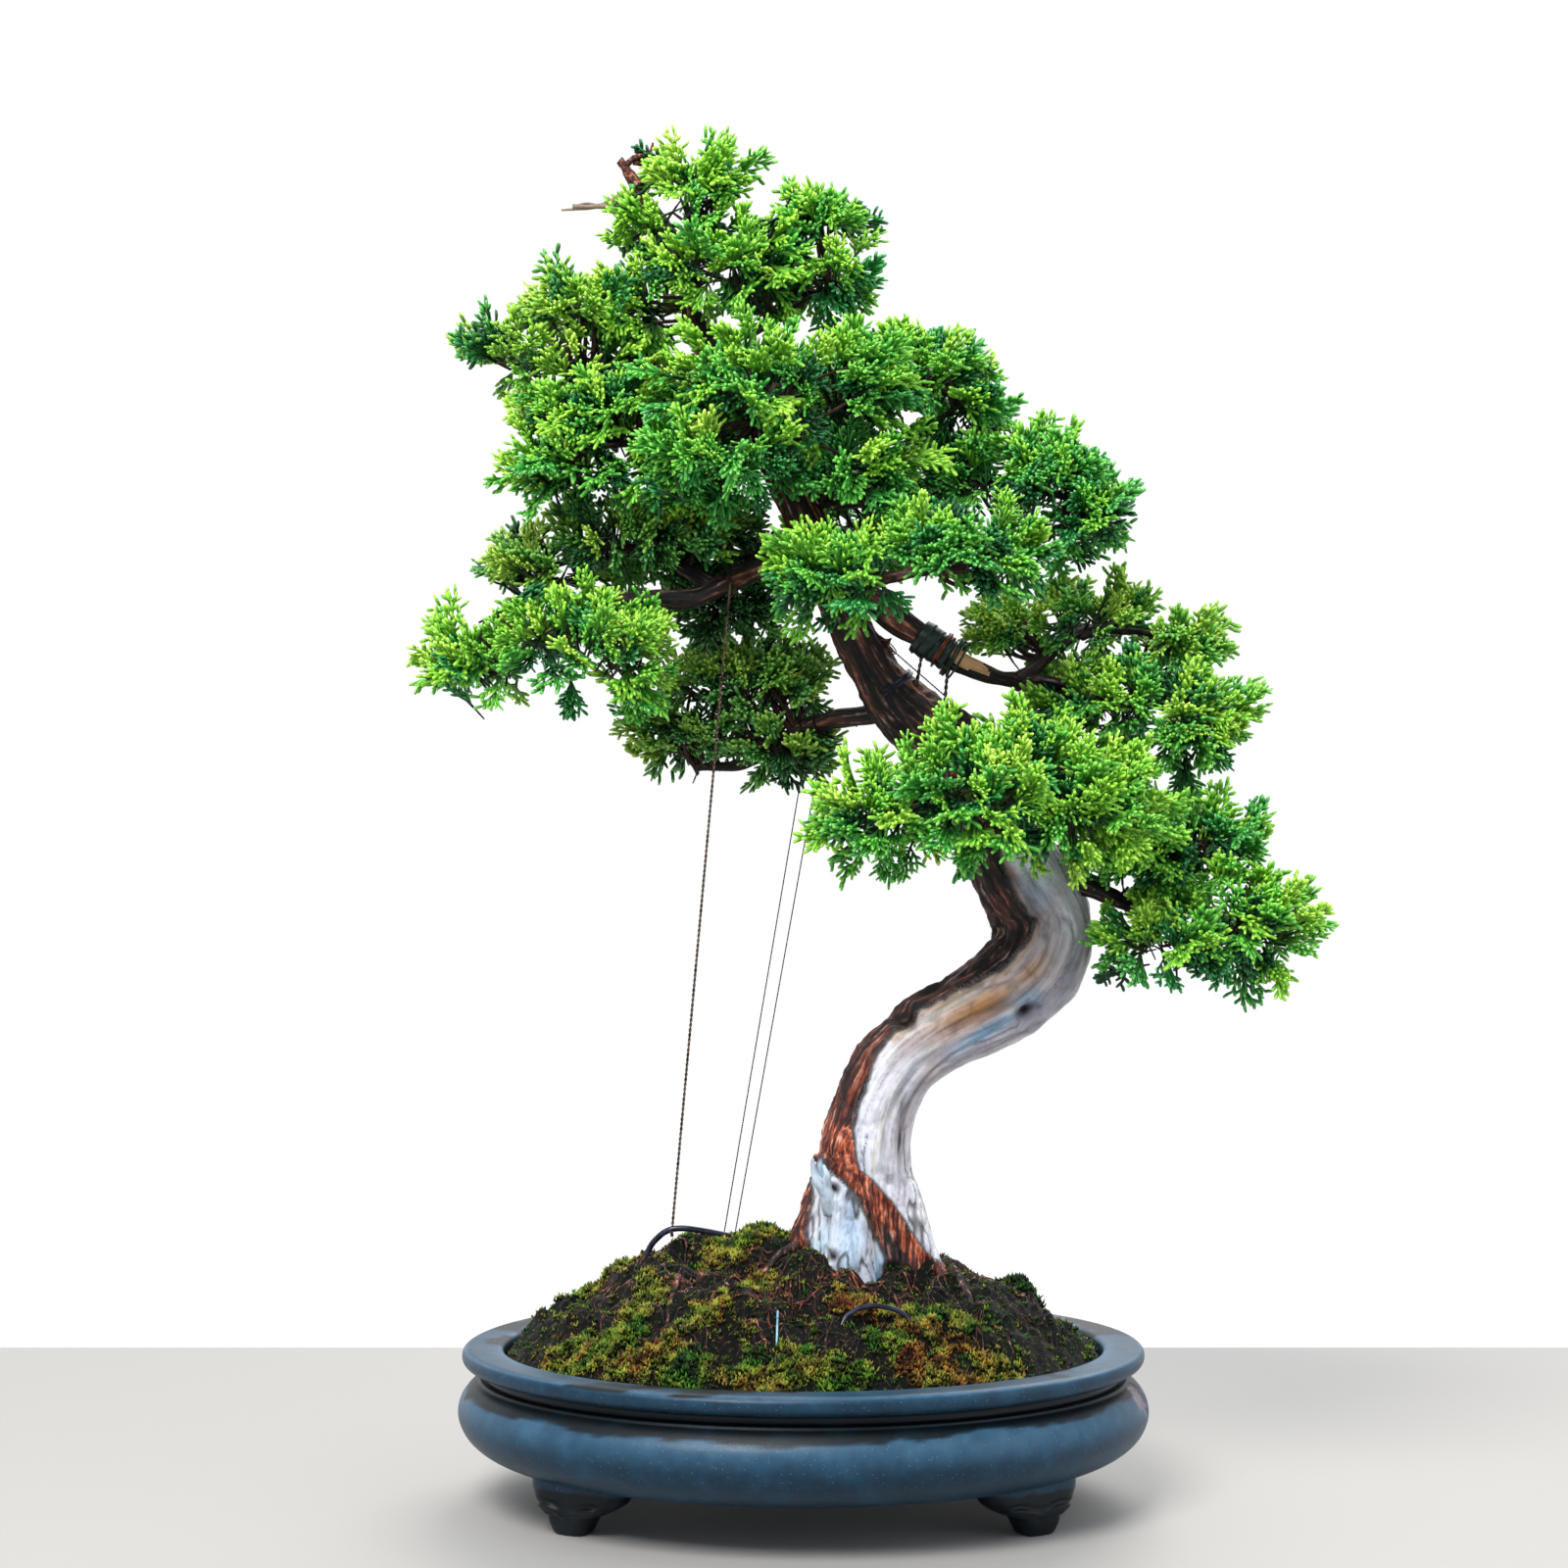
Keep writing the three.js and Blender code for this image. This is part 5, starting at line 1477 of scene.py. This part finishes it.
def root_line(x, y, heading, length, rng, wander=0.35):
    """A line that creeps over the ground from a place, in short steps."""
    places = []
    for _ in range(max(5, int(length / ROOT_STEP))):
        places.append((x, y))
        heading += rng.normal(0, wander)
        x, y = x + ROOT_STEP * math.cos(heading), y + ROOT_STEP * math.sin(heading)
        if math.hypot(x / MOUTH[0], y / MOUTH[1]) > 0.97:
            break
    flat = np.array(places)
    return np.column_stack([flat, ground(flat[:, 0], flat[:, 1])])


root_rng = np.random.default_rng(71)
root_parts = []
for _ in range(FINE_ROOTS_TRIED):
    start = root_rng.normal(0, 1, 2) * [52, 42] + [4, -14]
    if not 0.24 < math.hypot(start[0] / MOUTH[0], start[1] / MOUTH[1]) < 0.93:
        continue
    downhill = math.atan2(start[1], start[0]) + root_rng.normal(0, 0.8)
    line = root_line(*start, downhill, root_rng.uniform(10, 40), root_rng)
    line[:, 2] += 0.35 + 0.8 * lumps(line / 6, 72)
    if len(line) > 4:
        root_parts.append(tube(line, np.linspace(root_rng.uniform(0.22, 0.6), 0.16, len(line)), 4))
# Thick roots: start, heading in degrees, length and radius.
for x, y, degrees, length, thick in ((-56, -40, -98, 34, 1.5), (60, -22, -52, 42, 2.6),
                                     (-2, -22, -150, 30, 2.4), (-62, -26, -160, 26, 1.2),
                                     (-70, -30, -140, 24, 1.0), (22, 34, 100, 34, 3.0),
                                     (58, 26, 40, 36, 2.6), (50, -34, -80, 18, 1.2)):
    line = root_line(x, y, math.radians(degrees), length, root_rng, 0.12)
    line[:, 2] += np.linspace(0.6, -0.6, len(line)) * thick
    root_parts.append(tube(line, np.linspace(thick, thick * 0.4, len(line)), 10))
points, faces = gather(root_parts)
grain = np.stack([points[:, 0], points[:, 1], points[:, 2] / 4], axis=1)
make_piece("surface_roots", points + FROM_POT, faces, [BARK], "branch_bark",
           marks={"grain": grain, "fresh": 0.15 + 0.45 * lumps(points / 20, 73)})
print("laid", len(root_parts), "roots")

# %% [markdown]
# ## Wires and rubber
#
# Branches are pulled into place with guy wires, each made of two strands twisted together and
# tied to something firm in the pot. Rubber stops a wire from biting into the bark. The wires are
# soft annealed steel that has dulled to brown, and the sleeve is a strip cut from a dark green
# sheet and wound round the branch.

# %% Materials: dulled steel, copper and rubber
def make_wire_metal(name, dark, pale, roughness):
    """Bare drawn wire that has dulled outdoors, streaked where it has been twisted."""
    return make_mottled(name, 4, 3.0, [(0.35, dark), (0.65, pale)],
                        (roughness - 0.1, roughness + 0.15), (0.3, 0.1), Metallic=1.0)


def make_rubber(name, dark, pale, roughness):
    """Moulded rubber: even and soft-edged, with a dusty bloom where it has been handled."""
    return make_mottled(name, 5, 4.0, [(0.4, dark), (0.75, pale)],
                        (roughness - 0.08, roughness + 0.12), (0.25, 0.2))


STEEL_WIRE = make_wire_metal("annealed_steel_wire", "3a2c25", "83705f", 0.45)
# The two thin wires are older and nearly black.
OXIDISED_WIRE = make_wire_metal("oxidised_steel_wire", "14100e", "3b332d", 0.6)
COPPER_WIRE = make_wire_metal("aged_copper_wire", "4a2018", "a45f4a", 0.4)
GREEN_RUBBER = make_rubber("dark_green_rubber", "05140f", "143229", 0.42)
BLACK_RUBBER = make_rubber("blue_black_rubber_tube", "080a14", "262c4c", 0.3)
print("wire and rubber materials ready")

# %% [markdown]
# ## Stringing the wires
#
# Each taut wire runs between the two ends of its bar in the frame. A twisted pair is two thin
# tubes that wind round that line, and it ends in a loop round what it holds.

# %% Helpers that wind wire
WIRE_END = 1.5                              # height within which a point belongs to a wire's end


def wire_piece(name, parts, material, slot="steel_wire", stands_for=()):
    """Several tubes of one material as one piece."""
    make_piece(name, *gather(parts), [material], slot, stands_for)


def wire_ends(name):
    """The upper and lower ends of a straight wire in the frame."""
    points, _ = read_node(name)
    tall = points[:, 2]
    top, foot = tall > tall.max() - WIRE_END, tall < tall.min() + WIRE_END
    return points[top].mean(axis=0), points[foot].mean(axis=0)


def twisted_pair(start, end, strand):
    """Two strands wound round a straight line."""
    length = np.linalg.norm(end - start)
    pitch = 13 * strand
    steps = int(8 * length / pitch)
    line = start + np.linspace(0, 1, steps)[:, None] * (end - start)
    side, other = ring_frames(line)
    turn = np.linspace(0, length / pitch * 2 * math.pi, steps)[:, None]
    return [tube(line + sign * strand * (np.cos(turn) * side + np.sin(turn) * other), strand, 6)
            for sign in (-1, 1)]


def loop(middle, axis, radius, thick, turns=1.0, drift=1.0, start=0.0):
    """A ring of wire round a limb: turns round axis, creeping along it by drift a turn."""
    path = np.array([middle - axis, middle, middle + axis])
    side, other = (frames[1] for frames in ring_frames(path))
    angle = start + np.linspace(0, turns * 2 * math.pi, int(40 * turns) + 4)
    creep = (angle - start - turns * math.pi) / (2 * math.pi) * drift
    line = (middle + radius * (np.cos(angle)[:, None] * side + np.sin(angle)[:, None] * other)
            + creep[:, None] * axis)
    return tube(line, thick, 7)


def limb_at(path, radius, place):
    """The middle, direction and radius of a limb beside a place."""
    i = int(np.clip(((path - place) ** 2).sum(axis=1).argmin(), 2, len(path) - 3))
    return path[i], unit(path[i + 2] - path[i - 2]), radius[i]


def tie_round(limb, place, thick, turns=2.0, room=0.0):
    """Turns of wire that hold a limb beside a place."""
    middle, axis, size = limb_at(*limb, place)
    return loop(middle, axis, size + room + thick * 1.5, thick, turns, 2.2 * thick)


print("wire helpers ready")

# %% [markdown]
# ## Guy wires and braces
#
# One stout guy wire and two thin ones pull the left-hand branches down. Two short braces hold
# the wrapped branch from below, a thin wire crosses from a stub to the bend under it, and a turn
# of copper goes round that bend.

# %% String the wires
trunk_radius = np.interp(trunk_path[:, 2], [92, 152, 216, 262, 303, 343, 368, 410, 538, 580],
                         [31, 20.5, 19, 23.5, 20, 18, 12.5, 9.5, 6, 2.5])
HOLDERS = {"guy_wire_main": "branch_left_main", "guy_wire_thin_left": "branch_left_low",
           "guy_wire_thin_right": "branch_left_low"}
for name, strand in (("guy_wire_main", 0.35), ("guy_wire_thin_left", 0.17),
                     ("guy_wire_thin_right", 0.17)):
    top, foot = wire_ends(name)
    parts = twisted_pair(top, foot, strand)
    parts.append(tie_round(LIMBS[HOLDERS[name]], top, strand * 1.3))
    parts.append(loop(foot, np.array([1.0, 0.0, 0.0]), 2.0, strand, 1.4, 0.8))
    metal = STEEL_WIRE if name == "guy_wire_main" else OXIDISED_WIRE
    wire_piece(name + "_twist", parts, metal, stands_for=[name])
    print(name, "is", round(float(np.linalg.norm(top - foot))), "mm long")
for name in ("brace_wire_left", "brace_wire_right"):
    top, foot = wire_ends(name)
    parts = twisted_pair(top + [0, 0, 2], foot - [0, 0, 1], 0.45)
    parts.append(loop(foot + [0, 0, 1], np.array([0, 0, 1.0]), 1.1, 0.5, 2.5, 1.0))
    wire_piece(name + "_twist", parts, STEEL_WIRE, stands_for=[name])

stub, elbow = FROM_POT + [40, 3, 391], FROM_POT + [80, 0, 356]
parts = twisted_pair(stub, elbow, 0.2)
parts.append(loop(stub, unit(np.array([1.0, -0.4, 1.0])), 3.4, 0.3, 2))
wire_piece("cross_wire", parts, STEEL_WIRE)
trunk_limb = (trunk_path, trunk_radius)
wire_piece("copper_tie", [tie_round(trunk_limb, FROM_POT + [76, 11, 338], 0.8, 1.2, 1.2)],
           COPPER_WIRE)


print("wires strung")

# %% [markdown]
# ## Rubber where wire would bite
#
# The wired branch wears a green sleeve with three ties round it. A dark strap goes round the
# trunk, and two short lengths of dark tube show on the soil. One wire there has a blue coat.

# %% Wind the sleeve, the strap and the tubes
SLEEVE_STEPS = 60                           # points along a wound sleeve, and round it


def wound_sleeve(limb, place, half_length, layers, thickness):
    """A strip of rubber wound round a limb, each turn lapping over the one before."""
    path, radius = limb
    i = ((path - place) ** 2).sum(axis=1).argmin()
    reach = int(half_length / np.linalg.norm(path[1] - path[0]))
    part = slice(max(0, i - reach), i + reach + 1)
    line = curve_through(path[part][::3], SLEEVE_STEPS)
    step = np.arange(SLEEVE_STEPS)
    size = np.interp(np.linspace(0, 1, SLEEVE_STEPS), np.linspace(0, 1, len(path[part])),
                     radius[part])
    turn = step[None] / SLEEVE_STEPS + np.linspace(0, layers, SLEEVE_STEPS)[:, None]
    lap = (turn % 1) ** 0.6
    ends = np.minimum(1, np.minimum(step, step[::-1]) / 1.5)[:, None]
    table = size[:, None] + 0.6 + thickness * (0.45 + 0.55 * lap) * ends
    flat = np.stack([turn * 3, step[:, None] / 6 + 0 * turn, 0 * turn], axis=2)
    table += 0.25 * lumps(flat.reshape(-1, 3), 81).reshape(table.shape)
    return tube(line, table, SLEEVE_STEPS)


wired = LIMBS["branch_right_wired"]
wrap_place = read_node("branch_wrap")[0].mean(axis=0)
wire_piece("branch_wrap_strip", [wound_sleeve(wired, wrap_place, 14.5, 3.4, 2.0)], GREEN_RUBBER,
           "rubber", ["branch_wrap"])
_, wired_axis, _ = limb_at(*wired, wrap_place)
parts = [tie_round(wired, wrap_place + wired_axis * at, 0.55, turns, 2.8)
         for at, turns in ((8.5, 2.0), (11.5, 1.0))]
wire_piece("green_tie_wire", parts, GREEN_RUBBER, "rubber")
wire_piece("copper_tie_on_sleeve",
           [tie_round(wired, wrap_place + wired_axis * 2, 0.45, 1.3, 2.7)], COPPER_WIRE)
strap_place = read_node("trunk_strap")[0].mean(axis=0)
points, faces = wound_sleeve(trunk_limb, strap_place, 4.2, 1.2, 1.8)
# The strap only shows on the right. Elsewhere it has sunk into the bark.
middle = limb_at(*trunk_limb, strap_place)[0]
to_right = smooth_step(-0.45, 0.15, unit(points - middle)[:, 0])
points = points - unit(points - middle) * (3.4 * (1 - to_right))[:, None]
wire_piece("trunk_strap_strip", [(points, faces)], BLACK_RUBBER, "rubber", ["trunk_strap"])
for name, size in (("anchor_hose", 1.4), ("root_tie_front", 1.1)):
    line, _ = spine(name, [read_node(name)[0].min(axis=0)], slices=12)
    wire_piece(name + "_tube", [tube(curve_through(line, 70), size, 14)], BLACK_RUBBER,
               "rubber", [name])
BLUE_PLASTIC = make_rubber("pale_blue_plastic_coat", "6fa6bd", "c4e6ee", 0.35)
flat = np.linspace((-11.5, -74), (-12.5, -93), 14)
line = np.column_stack([flat, ground(flat[:, 0], flat[:, 1]) + 1.0]) + FROM_POT
wire_piece("blue_coated_wire", [tube(line, 0.5, 8)], BLUE_PLASTIC, "rubber")
print("rubber and last ties in place")
